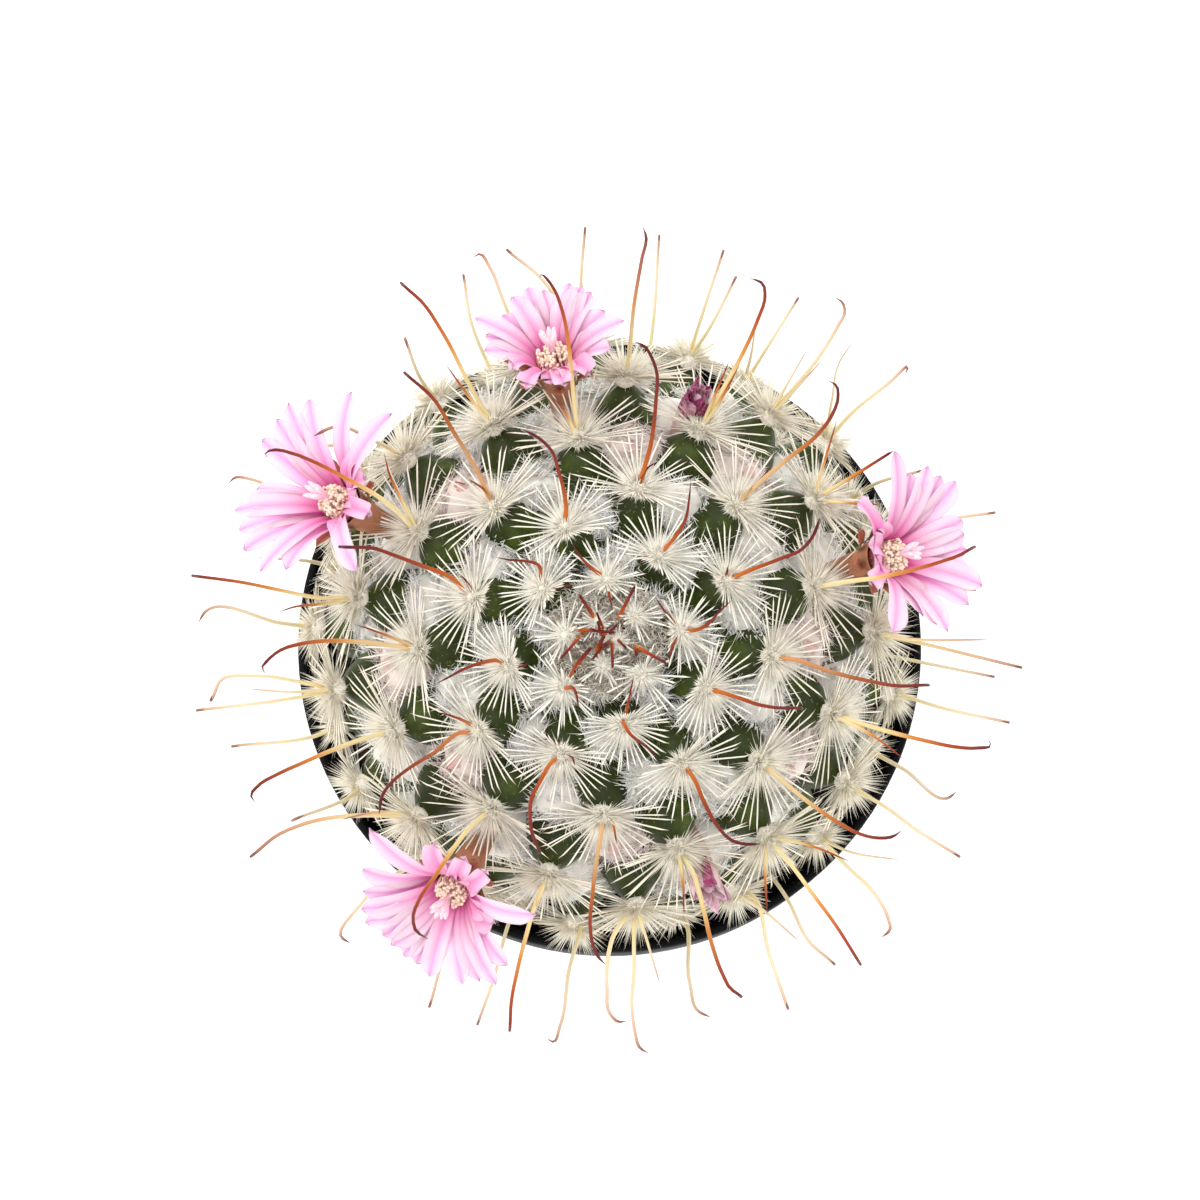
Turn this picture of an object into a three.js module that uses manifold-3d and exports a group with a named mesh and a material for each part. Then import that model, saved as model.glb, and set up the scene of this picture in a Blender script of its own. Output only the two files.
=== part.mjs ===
// A silken pincushion cactus in flower, standing in its round nursery pot.
// Millimetres, +Z up. The origin is the middle of the pot's flat underside.
import * as THREE from "three";
import { mergeVertices } from "three/addons/utils/BufferGeometryUtils.js";
import Module from "manifold-3d";

const wasm = await Module();
wasm.setup();

const { degToRad } = THREE.MathUtils;
const Z_AXIS = new THREE.Vector3(0, 0, 1);

// Clearance kept between pieces that touch
const GAP = 0.3;

// Pot
const POT_HEIGHT = 58;
const POT_RIM_RADIUS = 32.5;
const POT_BASE_RADIUS = 23;
const POT_SHOULDER_RADIUS = 30.3;
const POT_WALL = 1.1;
const POT_FLOOR = 1.6;
const LIP_HEIGHT = 7.5;
const LIP_STEP = 1.7;
const EDGE_ROUND = 0.4;
const DRAIN_HOLES = 4;
const DRAIN_RADIUS = 2.5;
const DRAIN_CIRCLE = 14;
const POT_SIDES = 44;

// Soil, with a round dish in which the root end of the stem rests
const SOIL_TOP = 50;
const ROOT_RADIUS = 26;
const DISH_STEPS = 5;

// Stem: a dome of tubercles, leaning to the front, its middle a little off the pot's axis
const PLANT_RIGHT = -0.3;
const PLANT_BACK = -2;
const EQUATOR_HEIGHT = 70;
const LEAN = degToRad(13);
const STEM_RADIUS = 28.6;
const CROWN_DIP = 1;
const BODY_UPPER_STEPS = 8;
const BODY_LOWER_DROPS = [14, 7];
const BODY_LOWER_CURVE = 31.3;
const ROOT_NECK_RADIUS = 16.6;
const ROOT_STEPS = 4;
const LOWER_TUBERCLE_CURVE = 30;
const STEM_SIDES = 24;

// Spiral in which the tubercles grow, counted outwards from the crown
const FIRST_ANGLE = 208.2;
const GOLDEN_ANGLE = 137.508;
const POLAR_STEP = 1.43;
const POLAR_START = 0.35;
const EQUATOR_NUMBER = Math.floor(90 / POLAR_STEP - POLAR_START);
const DROP_PER_TUBERCLE = 0.72;
const LAST_TUBERCLE = 78;

// Tubercle: shares of the spacing between neighbours
const TUBERCLE_TALL = 0.62;
const TUBERCLE_WIDE = 0.54;
const TUBERCLE_SIDES = 6;

// Flowers, each in the axil outside the numbered tubercle
const FLOWERS = [
  { name: "flower_back", tubercle: 28, mouthOut: 26.0, size: 0.94 },
  { name: "flower_front_left", tubercle: 29, mouthOut: 27.1, size: 1.04 },
  { name: "flower_right", tubercle: 30, mouthOut: 27.0, size: 1.0 },
  { name: "flower_left", tubercle: 31, mouthOut: 27.8, size: 1.06 },
];
const AXIL_BELOW = 13;
const FLOWER_SWING = 2.5;
const MOUTH_UP = 22;
const MOUTH_TILT = degToRad(36);
const TUBE_BASE_RADIUS = 1.0;
const TUBE_MOUTH_RADIUS = 2.5;
const TUBE_SHELL = 0.35;
const TUBE_SIDES = 10;
const PETAL_LENGTH = 8.6;
const PETAL_HALF_WIDTH = 1.25;
const PETAL_THICKNESS = 0.3;
const PETAL_BAND = 0.5;
const BAND_SIDES = 12;
const WHORLS = {
  outer_petals: { count: 9, ring: 2.35, foot: 0.3, lean: [degToRad(46), degToRad(86)] },
  inner_petals: { count: 8, ring: 1.7, foot: 1.5, lean: [degToRad(16), degToRad(60)] },
};
const STAMENS = { count: 7, foot: -3.5, ring: 0.92, spread: 1.1, height: 2.7, stagger: 0.4 };
const FILAMENT_RADIUS = 0.13;
const ANTHER_RADIUS = 0.34;
const STYLE = { foot: -4.3, fork: 3, top: 3.2, radius: 0.24, sides: 6 };
const STIGMA = { lobes: 5, spread: 0.9, height: 4.8, foot: 0.22, tip: 0.3, sides: 5 };

// Young buds and the two flowers that have closed again
const FIRST_BUD = 20;
const BUDS = 8;
const BUD_SWING = 3.5;
const BUD_BEYOND = 15;
const BUD_TIP_RADIUS = 27;
const BUD_THICKNESS = 1.5;
const FADED = [
  { name: "faded_flower_front", tubercle: 32, out: 26, up: 21, thickness: 2.0 },
  { name: "faded_flower_back", tubercle: 33, out: 24.5, up: 22, thickness: 1.7 },
];

// Central spines: the tubercle each stands on, how far its tip reaches to the
// right and to the back of the crown, and its length
const SPINE_RADIUS = 0.3;
const SPINE_TIP_RADIUS = 0.09;
const SPINE_SIDES = 4;
const SPINE_STEPS = 8;
const SPINE_BULGE = 1.2;
const SPINE_BULGE_AT = 0.55;
const HOOK_OUT = 1.0;
const HOOK_DOWN = 0.6;
const CENTRAL_SPINES = [
  { tubercle: 15, tip: [-8, 19], length: 12 },
  { tubercle: 17, tip: [19.5, 11], length: 13 },
  { tubercle: 20, tip: [2.5, 26.5], length: 17 },
  { tubercle: 21, tip: [-21, -16], length: 15 },
  { tubercle: 22, tip: [29.5, -5], length: 17 },
  { tubercle: 23, tip: [-18.5, 24.5], length: 17 },
  { tubercle: 24, tip: [0, -30.5], length: 19 },
  { tubercle: 25, tip: [21, 23.5], length: 18 },
  { tubercle: 26, tip: [-32.5, -3], length: 19 },
  { tubercle: 27, tip: [27.5, -18], length: 18 },
  { tubercle: 28, tip: [-6, 33.5], length: 18 },
  { tubercle: 29, tip: [-18.5, -27], length: 25 },
  { tubercle: 30, tip: [34.5, 8.5], length: 23 },
  { tubercle: 31, tip: [-32.5, 17.5], length: 24 },
  { tubercle: 32, tip: [12.5, -34], length: 18 },
  { tubercle: 33, tip: [13.5, 34], length: 18 },
  { tubercle: 34, tip: [-34, -16], length: 18 },
  { tubercle: 35, tip: [37.5, -10], length: 19 },
  { tubercle: 36, tip: [-19.5, 34], length: 20 },
  { tubercle: 37, tip: [-9.5, -38], length: 18 },
  { tubercle: 38, tip: [27.5, 18], length: 12 },
  { tubercle: 39, tip: [-40, 6], length: 19 },
  { tubercle: 40, tip: [24.5, -31.5], length: 18 },
  { tubercle: 41, tip: [3.5, 39.5], length: 19 },
  { tubercle: 45, tip: [4, -41], length: 17 },
  { tubercle: 46, tip: [22, 32.5], length: 16 },
  { tubercle: 47, tip: [-40, -7], length: 16 },
];

// Materials
const MATERIALS = {
  pot: { color: "#131313", roughness: 0.5, metalness: 0 },
  soil: { color: "#3a2c20", roughness: 1, metalness: 0 },
  stem: { color: "#3a5a32", roughness: 0.6, metalness: 0 },
  tube: { color: "#a4574c", roughness: 0.5, metalness: 0 },
  petal: { color: "#eda6e2", roughness: 0.5, metalness: 0 },
  anther: { color: "#f3b779", roughness: 0.8, metalness: 0 },
  stigma: { color: "#f6d7e2", roughness: 0.5, metalness: 0 },
  bud: { color: "#dba9a6", roughness: 0.6, metalness: 0 },
  faded: { color: "#a8467f", roughness: 0.7, metalness: 0 },
  spine: { color: "#c8641e", roughness: 0.4, metalness: 0 },
};

// A named mesh with a material of its own
function part(name, finish, geometry) {
  const mesh = new THREE.Mesh(geometry, new THREE.MeshStandardMaterial(MATERIALS[finish]));
  mesh.name = name;
  return mesh;
}

function toSolid(geometry) {
  const bare = geometry.clone();
  bare.deleteAttribute("normal");
  bare.deleteAttribute("uv");
  const merged = mergeVertices(bare, 1e-4);
  return new wasm.Manifold(
    new wasm.Mesh({
      numProp: 3,
      vertProperties: merged.attributes.position.array,
      triVerts: new Uint32Array(merged.index.array),
    }),
  );
}

function toGeometry(solid) {
  const { numProp, vertProperties, triVerts } = solid.getMesh();
  const positions = new THREE.InterleavedBuffer(vertProperties, numProp);
  const geometry = new THREE.BufferGeometry();
  geometry.setAttribute("position", new THREE.InterleavedBufferAttribute(positions, 3, 0));
  geometry.setIndex(new THREE.BufferAttribute(triVerts, 1));
  geometry.computeVertexNormals();
  return geometry;
}

function union(geometries) {
  return geometries.map(toSolid).reduce((sum, solid) => sum.add(solid));
}

// A profile of [radius, height] turned about +Z
function turned(profile, sides) {
  const points = profile.map(([radius, height]) => new THREE.Vector2(radius, height));
  return new THREE.LatheGeometry(points, sides).rotateX(Math.PI / 2);
}

// Points of a circle about the axis, from one polar angle to another
function arcPoints(radius, from, to, steps) {
  return Array.from({ length: steps + 1 }, (_, i) => {
    const angle = from + ((to - from) * i) / steps;
    return [radius * Math.sin(angle), radius * Math.cos(angle)];
  });
}

// A shape that stands along +Z, laid along a path of the same length
function bentAlong(geometry, path, length) {
  const frameCount = 24;
  const frames = path.computeFrenetFrames(frameCount);
  const position = geometry.attributes.position;
  for (let i = 0; i < position.count; i++) {
    const share = THREE.MathUtils.clamp(position.getZ(i) / length, 0, 1);
    const k = Math.round(share * frameCount);
    const point = path.getPointAt(share);
    point.addScaledVector(frames.normals[k], position.getX(i));
    point.addScaledVector(frames.binormals[k], position.getY(i));
    position.setXYZ(i, point.x, point.y, point.z);
  }
  return geometry;
}

// Places on the plant, whose own origin is the middle of the stem's widest turn
function spiralAngle(number) {
  return degToRad(FIRST_ANGLE + GOLDEN_ANGLE * number);
}

function polarAngle(number) {
  return degToRad(POLAR_STEP * (number + POLAR_START));
}

function tubercleSpacing(polar) {
  const cell = 2 * Math.PI * STEM_RADIUS ** 2 * degToRad(POLAR_STEP);
  return Math.sqrt(cell * Math.sin(Math.min(polar, Math.PI / 2)));
}

// Distance from the plant's origin to the stem's body between the tubercles
function bodyRadius(polar) {
  return STEM_RADIUS - TUBERCLE_TALL * tubercleSpacing(polar);
}

// Radius and height of a tubercle's tip, and the way it points, as an angle from the axis
function tubercleTip(number) {
  if (number <= EQUATOR_NUMBER) {
    const polar = polarAngle(number);
    return {
      out: STEM_RADIUS * Math.sin(polar),
      up: STEM_RADIUS * Math.cos(polar),
      lean: polar,
      spacing: tubercleSpacing(polar),
    };
  }
  const drop = (number - EQUATOR_NUMBER) * DROP_PER_TUBERCLE;
  return {
    out: STEM_RADIUS * Math.sqrt(1 - (drop / LOWER_TUBERCLE_CURVE) ** 2),
    up: -drop,
    lean: Math.PI / 2,
    spacing: tubercleSpacing(Math.PI / 2),
  };
}

function makePot() {
  const lipFoot = POT_HEIGHT - LIP_HEIGHT;
  const lipRadius = POT_SHOULDER_RADIUS + LIP_STEP;
  const inside = POT_RIM_RADIUS - POT_WALL;
  const shell = turned(
    [
      [0, 0],
      [POT_BASE_RADIUS - EDGE_ROUND, 0],
      [POT_BASE_RADIUS, EDGE_ROUND],
      [POT_SHOULDER_RADIUS, lipFoot],
      [lipRadius, lipFoot + EDGE_ROUND],
      [POT_RIM_RADIUS, POT_HEIGHT - EDGE_ROUND],
      [POT_RIM_RADIUS - EDGE_ROUND, POT_HEIGHT],
      [inside + EDGE_ROUND, POT_HEIGHT],
      [inside, POT_HEIGHT - EDGE_ROUND],
      [lipRadius - POT_WALL, lipFoot + POT_WALL],
      [POT_SHOULDER_RADIUS - POT_WALL, lipFoot],
      [POT_BASE_RADIUS - POT_WALL, POT_FLOOR],
      [0, POT_FLOOR],
    ],
    POT_SIDES,
  );
  let solid = toSolid(shell);
  for (let i = 0; i < DRAIN_HOLES; i++) {
    const angle = ((i + 0.5) * 2 * Math.PI) / DRAIN_HOLES;
    const drill = new THREE.CylinderGeometry(DRAIN_RADIUS, DRAIN_RADIUS, 4 * POT_FLOOR, 12);
    drill.rotateX(Math.PI / 2);
    drill.translate(DRAIN_CIRCLE * Math.cos(angle), DRAIN_CIRCLE * Math.sin(angle), 0);
    solid = solid.subtract(toSolid(drill));
  }
  return part("pot", "pot", toGeometry(solid));
}

function makeSoil() {
  const floor = POT_FLOOR + GAP;
  const wallHeight = POT_HEIGHT - LIP_HEIGHT - POT_FLOOR;
  const wallSlope = (POT_SHOULDER_RADIUS - POT_BASE_RADIUS) / wallHeight;
  const foot = POT_BASE_RADIUS - POT_WALL - GAP;
  const insideAt = (height) => foot + wallSlope * (height - POT_FLOOR);
  const body = turned(
    [
      [0, floor],
      [insideAt(floor), floor],
      [insideAt(SOIL_TOP), SOIL_TOP],
      [0, SOIL_TOP],
    ],
    POT_SIDES,
  );
  const dishRadius = ROOT_RADIUS + GAP;
  const brimAngle = Math.PI - Math.acos((EQUATOR_HEIGHT - SOIL_TOP) / dishRadius);
  const bowl = arcPoints(dishRadius, Math.PI, brimAngle, DISH_STEPS).slice(1);
  const brim = bowl[DISH_STEPS - 1][0];
  const dish = turned([[0, -dishRadius], ...bowl, [brim, 0], [0, 0]], POT_SIDES);
  dish.translate(PLANT_RIGHT, PLANT_BACK, EQUATOR_HEIGHT);
  return part("soil", "soil", toGeometry(toSolid(body).subtract(toSolid(dish))));
}

// The stem's body between the tubercles, from the rounded root end to the crown
function makeCore() {
  const waist = bodyRadius(Math.PI / 2);
  const neckAngle = Math.PI - Math.asin(ROOT_NECK_RADIUS / ROOT_RADIUS);
  const root = arcPoints(ROOT_RADIUS, Math.PI, neckAngle, ROOT_STEPS).slice(1);
  const lower = BODY_LOWER_DROPS.map((drop) => {
    return [waist * Math.sqrt(1 - (drop / BODY_LOWER_CURVE) ** 2), -drop];
  });
  const upper = Array.from({ length: BODY_UPPER_STEPS }, (_, i) => {
    const polar = (Math.PI / 2) * (1 - i / BODY_UPPER_STEPS);
    return [bodyRadius(polar) * Math.sin(polar), bodyRadius(polar) * Math.cos(polar)];
  });
  const crown = [0, STEM_RADIUS - CROWN_DIP];
  return turned([[0, -ROOT_RADIUS], ...root, ...lower, ...upper, crown], STEM_SIDES);
}

function makeTubercle(number) {
  const { out, up, lean, spacing } = tubercleTip(number);
  const tall = TUBERCLE_TALL * spacing;
  const wide = TUBERCLE_WIDE * spacing;
  const cone = turned(
    [
      [0, -1.3 * tall],
      [wide, -1.2 * tall],
      [0.5 * wide, -0.3 * tall],
      [0.2 * wide, 0],
      [0, 0],
    ],
    TUBERCLE_SIDES,
  );
  return cone.rotateY(lean).translate(out, 0, up).rotateZ(spiralAngle(number));
}

// True where the lower edge of a tubercle stays above the soil on the leaning stem
function clearsSoil(number) {
  const { out, up, spacing } = tubercleTip(number);
  const along = out * Math.sin(spiralAngle(number));
  const height = EQUATOR_HEIGHT + up * Math.cos(LEAN) + along * Math.sin(LEAN);
  return height - TUBERCLE_WIDE * spacing > SOIL_TOP + GAP;
}

function makeStem() {
  const pieces = [makeCore()];
  for (let number = 0; number <= LAST_TUBERCLE; number++) {
    if (clearsSoil(number)) pieces.push(makeTubercle(number));
  }
  const grown = FLOWERS.map((flower) => flowerTube(flower, GAP));
  grown.push(...FADED.map((flower) => fadedSpindle(flower, GAP)));
  for (let i = 0; i < BUDS; i++) grown.push(budSpindle(i, GAP));
  return part("stem", "stem", toGeometry(union(pieces).subtract(union(grown))));
}

// Where a flower or bud starts, on the stem's body below its tubercle
function axilPoint(number, spare) {
  const polar = polarAngle(number) + degToRad(AXIL_BELOW);
  const along = new THREE.Vector3(Math.sin(polar), 0, Math.cos(polar));
  return along.setLength(bodyRadius(polar) - spare);
}

function flowerAngle(number) {
  return spiralAngle(number) + degToRad(FLOWER_SWING);
}

// The fleshy tube of a flower; a spare width makes the pocket it grows from
function flowerTube({ tubercle, mouthOut }, spare) {
  const start = axilPoint(tubercle, spare);
  const mouth = new THREE.Vector3(mouthOut, 0, MOUTH_UP);
  const mouthWay = new THREE.Vector3(Math.sin(MOUTH_TILT), 0, Math.cos(MOUTH_TILT));
  const bend = mouth.clone().addScaledVector(mouthWay, -start.distanceTo(mouth) / 2);
  const path = new THREE.QuadraticBezierCurve3(start, bend, mouth);
  const length = path.getLength();
  const throat = 0.45 * length;
  const profile = [
    [0, 0],
    [TUBE_BASE_RADIUS + spare, 0],
    [1.3 * TUBE_BASE_RADIUS + spare, throat],
    [TUBE_MOUTH_RADIUS + spare, length],
    [TUBE_MOUTH_RADIUS - TUBE_SHELL, length],
    [TUBE_BASE_RADIUS, 1.15 * throat],
    [0, 1.1 * throat],
  ];
  const tube = bentAlong(turned(profile, TUBE_SIDES), path, length);
  return tube.rotateZ(flowerAngle(tubercle));
}

// A lance-shaped petal: a thin blade standing along +Z, arching outwards
function petalBlade(length, lean) {
  const halfOutline = [
    [0.4, 0],
    [0.9, 0.4],
    [1, 0.68],
    [0.1, 1],
  ].map(([across, along]) => new THREE.Vector2(across * PETAL_HALF_WIDTH, along * length));
  const otherHalf = halfOutline.map(({ x, y }) => new THREE.Vector2(-x, y)).reverse();
  const outline = new THREE.Shape([...halfOutline, ...otherHalf]);
  const blade = new THREE.ExtrudeGeometry(outline, { depth: PETAL_THICKNESS, bevelEnabled: false });
  blade.translate(0, 0, -PETAL_THICKNESS / 2).rotateX(Math.PI / 2).rotateZ(Math.PI / 2);
  const [lower, upper] = lean.map((angle) => {
    return new THREE.Vector3(Math.sin(angle), 0, Math.cos(angle)).setLength(length / 2);
  });
  const tip = lower.clone().add(upper);
  return bentAlong(blade, new THREE.QuadraticBezierCurve3(new THREE.Vector3(), lower, tip), length);
}

// A flat ring about +Z
function ringBand(inner, outer, foot, height) {
  const profile = [
    [inner, foot],
    [outer, foot],
    [outer, foot + height],
    [inner, foot + height],
    [inner, foot],
  ];
  return turned(profile, BAND_SIDES);
}

// The same shape repeated around +Z
function aroundAxis(count, makeShape) {
  return Array.from({ length: count }, (_, i) => makeShape(i).rotateZ((i * 2 * Math.PI) / count));
}

function makeWhorl(flowerName, whorlName, size) {
  const { count, ring, foot, lean } = WHORLS[whorlName];
  const half = PETAL_BAND / 2;
  const band = ringBand(ring - half, ring + half, foot, PETAL_BAND);
  const petals = aroundAxis(count, () => {
    return petalBlade(PETAL_LENGTH * size, lean).translate(ring, 0, foot + half);
  });
  return part(`${flowerName}_${whorlName}`, "petal", toGeometry(union([band, ...petals])));
}

// A thin rod from one point to another
function rod(from, to, fromRadius, toRadius, sides) {
  const path = new THREE.LineCurve3(from, to);
  const length = path.getLength();
  const shape = new THREE.CylinderGeometry(toRadius, fromRadius, length, sides);
  shape.rotateX(Math.PI / 2).translate(0, 0, length / 2);
  return bentAlong(shape, path, length);
}

function makeStamens(flowerName) {
  const { count, foot, ring, spread, height, stagger } = STAMENS;
  const half = 1.3 * FILAMENT_RADIUS;
  const band = ringBand(ring - half, ring + half, foot, 2 * half);
  const topOf = (i) => new THREE.Vector3(spread, 0, height + stagger * (i % 3));
  const root = new THREE.Vector3(ring, 0, foot + half);
  const filaments = aroundAxis(count, (i) => rod(root, topOf(i), FILAMENT_RADIUS, FILAMENT_RADIUS, 4));
  const anthers = aroundAxis(count, (i) => {
    return new THREE.OctahedronGeometry(ANTHER_RADIUS).translate(...topOf(i).toArray());
  });
  const cluster = union([band, ...filaments, ...anthers]);
  return part(`${flowerName}_stamens`, "anther", toGeometry(cluster));
}

function makeStyle(flowerName) {
  const root = new THREE.Vector3(0, 0, STYLE.foot);
  const top = new THREE.Vector3(0, 0, STYLE.top);
  const fork = new THREE.Vector3(0, 0, STYLE.fork);
  const lobeTip = new THREE.Vector3(STIGMA.spread, 0, STIGMA.height);
  const stalk = rod(root, top, STYLE.radius, STYLE.radius, STYLE.sides);
  const lobes = aroundAxis(STIGMA.lobes, () => {
    return rod(fork, lobeTip, STIGMA.foot, STIGMA.tip, STIGMA.sides);
  });
  return part(`${flowerName}_style`, "stigma", toGeometry(union([stalk, ...lobes])));
}

function makeFlower(flower) {
  const { name, tubercle, mouthOut, size } = flower;
  const turn = new THREE.Group();
  turn.rotation.z = flowerAngle(tubercle);

  const head = new THREE.Group();
  head.position.set(mouthOut, 0, MOUTH_UP);
  head.rotation.y = MOUTH_TILT;
  for (const whorlName of Object.keys(WHORLS)) head.add(makeWhorl(name, whorlName, size));
  head.add(makeStamens(name), makeStyle(name));
  turn.add(head);

  const whole = new THREE.Group();
  whole.add(part(`${name}_tube`, "tube", flowerTube(flower, 0)), turn);
  return whole;
}

// A closed spindle from the axil to its tip
function spindle(start, tip, thickness) {
  const length = start.distanceTo(tip);
  const profile = [
    [0, 0],
    [0.5 * thickness, 0],
    [0.9 * thickness, 0.45 * length],
    [thickness, 0.7 * length],
    [0.5 * thickness, 0.93 * length],
    [0, length],
  ];
  return bentAlong(turned(profile, 8), new THREE.LineCurve3(start, tip), length);
}

function budSpindle(index, spare) {
  const number = FIRST_BUD + index;
  const polar = polarAngle(number) + degToRad(BUD_BEYOND);
  const tip = new THREE.Vector3(Math.sin(polar), 0, Math.cos(polar)).setLength(BUD_TIP_RADIUS + spare);
  const bud = spindle(axilPoint(number, spare), tip, BUD_THICKNESS + spare);
  return bud.rotateZ(spiralAngle(number) + degToRad(BUD_SWING));
}

function fadedSpindle({ tubercle, out, up, thickness }, spare) {
  const tip = new THREE.Vector3(out, 0, up);
  const flower = spindle(axilPoint(tubercle, spare), tip, thickness + spare);
  return flower.rotateZ(spiralAngle(tubercle) + degToRad(BUD_SWING));
}

// A stiff spine that rises from its tubercle and turns over into a hook at the tip
function makeCentralSpine({ tubercle, tip, length }) {
  const { out, up, lean } = tubercleTip(tubercle);
  const angle = spiralAngle(tubercle);
  const facing = new THREE.Vector3(Math.sin(lean), 0, Math.cos(lean)).applyAxisAngle(Z_AXIS, angle);
  const base = new THREE.Vector3(out, 0, up).applyAxisAngle(Z_AXIS, angle);
  base.addScaledVector(facing, GAP);
  const reach = new THREE.Vector3(tip[0] - base.x, tip[1] - base.y, 0);
  const rise = Math.sqrt(length ** 2 - reach.lengthSq());
  const end = base.clone().add(reach).setZ(base.z + rise);
  const middle = base.clone().lerp(end, SPINE_BULGE_AT).addScaledVector(facing, SPINE_BULGE);
  const shank = end.clone().sub(base).normalize();
  const over = end.clone().addScaledVector(reach.normalize(), HOOK_OUT);
  over.addScaledVector(shank, -HOOK_DOWN);
  const path = new THREE.CatmullRomCurve3([base, middle, end, over]);
  const needle = new THREE.CylinderGeometry(
    SPINE_TIP_RADIUS,
    SPINE_RADIUS,
    1,
    SPINE_SIDES,
    SPINE_STEPS,
  );
  needle.rotateX(Math.PI / 2).translate(0, 0, 0.5);
  return part(`central_spine_${tubercle}`, "spine", bentAlong(needle, path, 1));
}

const plant = new THREE.Group();
plant.position.set(PLANT_RIGHT, PLANT_BACK, EQUATOR_HEIGHT);
plant.rotation.x = LEAN;
plant.add(makeStem());
FLOWERS.forEach((flower) => plant.add(makeFlower(flower)));
for (let i = 0; i < BUDS; i++) plant.add(part(`bud_${i + 1}`, "bud", budSpindle(i, 0)));
FADED.forEach((flower) => plant.add(part(flower.name, "faded", fadedSpindle(flower, 0))));
CENTRAL_SPINES.forEach((spine) => plant.add(makeCentralSpine(spine)));

const cactus = new THREE.Group();
cactus.add(makePot(), makeSoil(), plant);

export default cactus;
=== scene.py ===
"""A silken pincushion cactus in flower, standing in its round black nursery pot.

Shapes are worked out in millimetres and go into the frame in metres. The plant has axes of its
own: its origin is the middle of the stem's widest turn, +Z runs up to the crown, +X is to the
right and +Y to the back. The whole plant leans to the front.
"""
import math
from collections import namedtuple

import bmesh
import bpy
import numpy as np
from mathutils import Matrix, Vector


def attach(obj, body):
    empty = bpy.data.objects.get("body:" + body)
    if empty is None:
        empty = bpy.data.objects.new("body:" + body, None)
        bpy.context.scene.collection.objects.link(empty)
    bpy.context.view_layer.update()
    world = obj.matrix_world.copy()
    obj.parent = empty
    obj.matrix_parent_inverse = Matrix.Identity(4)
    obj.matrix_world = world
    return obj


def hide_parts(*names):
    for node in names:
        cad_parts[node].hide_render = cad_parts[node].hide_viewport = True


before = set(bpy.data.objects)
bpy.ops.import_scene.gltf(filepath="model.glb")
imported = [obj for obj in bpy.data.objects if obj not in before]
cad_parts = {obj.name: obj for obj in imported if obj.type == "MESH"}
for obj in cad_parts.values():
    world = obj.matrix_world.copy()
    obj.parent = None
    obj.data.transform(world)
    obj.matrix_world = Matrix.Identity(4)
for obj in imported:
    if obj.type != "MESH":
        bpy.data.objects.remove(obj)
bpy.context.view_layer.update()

MM = 0.001

# Pot and soil, as in the frame
POT_HEIGHT = 58
POT_RIM_RADIUS = 32.5
POT_BASE_RADIUS = 23
POT_SHOULDER_RADIUS = 30.3
POT_WALL = 1.1
POT_FLOOR = 1.6
LIP_HEIGHT = 7.5
LIP_STEP = 1.7
DRAIN_HOLES = 4
DRAIN_RADIUS = 2.5
DRAIN_CIRCLE = 14
SOIL_TOP = 50
ROOT_RADIUS = 26
FLARE = POT_SHOULDER_RADIUS - POT_BASE_RADIUS
LIP_FOOT = POT_HEIGHT - LIP_HEIGHT

# The gap between the pot, the soil in it and the stem in the soil
RESTING_GAP = 0.3

# How far fine pieces keep from the pot's wall, its rim and the soil
WALL_CLEARANCE = 0.35
RIM_CLEARANCE = 0.4
SOIL_CLEARANCE = 0.5
WOOL_CLEARANCE = 0.6

# Stem, as in the frame
PLANT_RIGHT = -0.3
PLANT_BACK = -2
EQUATOR_HEIGHT = 70
LEAN = math.radians(13)
STEM_RADIUS = 28.6
WAIST_RADIUS = 21.6
BODY_LOWER_CURVE = 31.3
LOWER_TUBERCLE_CURVE = 30
FIRST_ANGLE = 208.2
GOLDEN_ANGLE = 137.508
POLAR_STEP = 1.43
POLAR_START = 0.35
EQUATOR_NUMBER = 62
DROP_PER_TUBERCLE = 0.72
LAST_TUBERCLE = 90
TUBERCLE_TALL = 0.62
TUBERCLE_WIDE = 0.54

# The camera looks straight down the plant's own axis, from this far above its middle; the
# middle of its frame is this many mm right and back of that axis
CAMERA_DISTANCE = 334.6
VIEW_CENTRE = (-0.7, 3.5)
FRAME_PIXELS = 1200
LENS_MM = 100
SENSOR_MM = 36
FOCAL_PIXELS = FRAME_PIXELS * LENS_MM / SENSOR_MM


def direction(polar, angle):
    """Unit vectors at these angles from the plant's axis and round it."""
    flat = np.sin(polar)
    return np.stack([flat * np.cos(angle), flat * np.sin(angle), np.cos(polar)], -1)


def unit(vectors):
    return vectors / np.linalg.norm(vectors, axis=-1, keepdims=True)


def spiral_angle(number):
    return math.radians(FIRST_ANGLE + GOLDEN_ANGLE * number)


def spiral_polar(number):
    return math.radians(POLAR_STEP * (number + POLAR_START))


def tubercle_spacing(polar):
    cell = 2 * math.pi * STEM_RADIUS**2 * math.radians(POLAR_STEP)
    return np.sqrt(cell * np.sin(np.minimum(polar, math.pi / 2)))


def body_radius(polar):
    """How far the stem's body between the tubercles lies from the plant's middle."""
    polar = np.asarray(polar, float)
    upper = STEM_RADIUS - TUBERCLE_TALL * tubercle_spacing(polar)
    lower = 1 / np.hypot(np.sin(polar) / WAIST_RADIUS, np.cos(polar) / BODY_LOWER_CURVE)
    return np.where(polar < math.pi / 2, upper, np.minimum(lower, ROOT_RADIUS))


Areole = namedtuple("Areole", "number tip facing outward sideways spacing polar angle")


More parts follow.
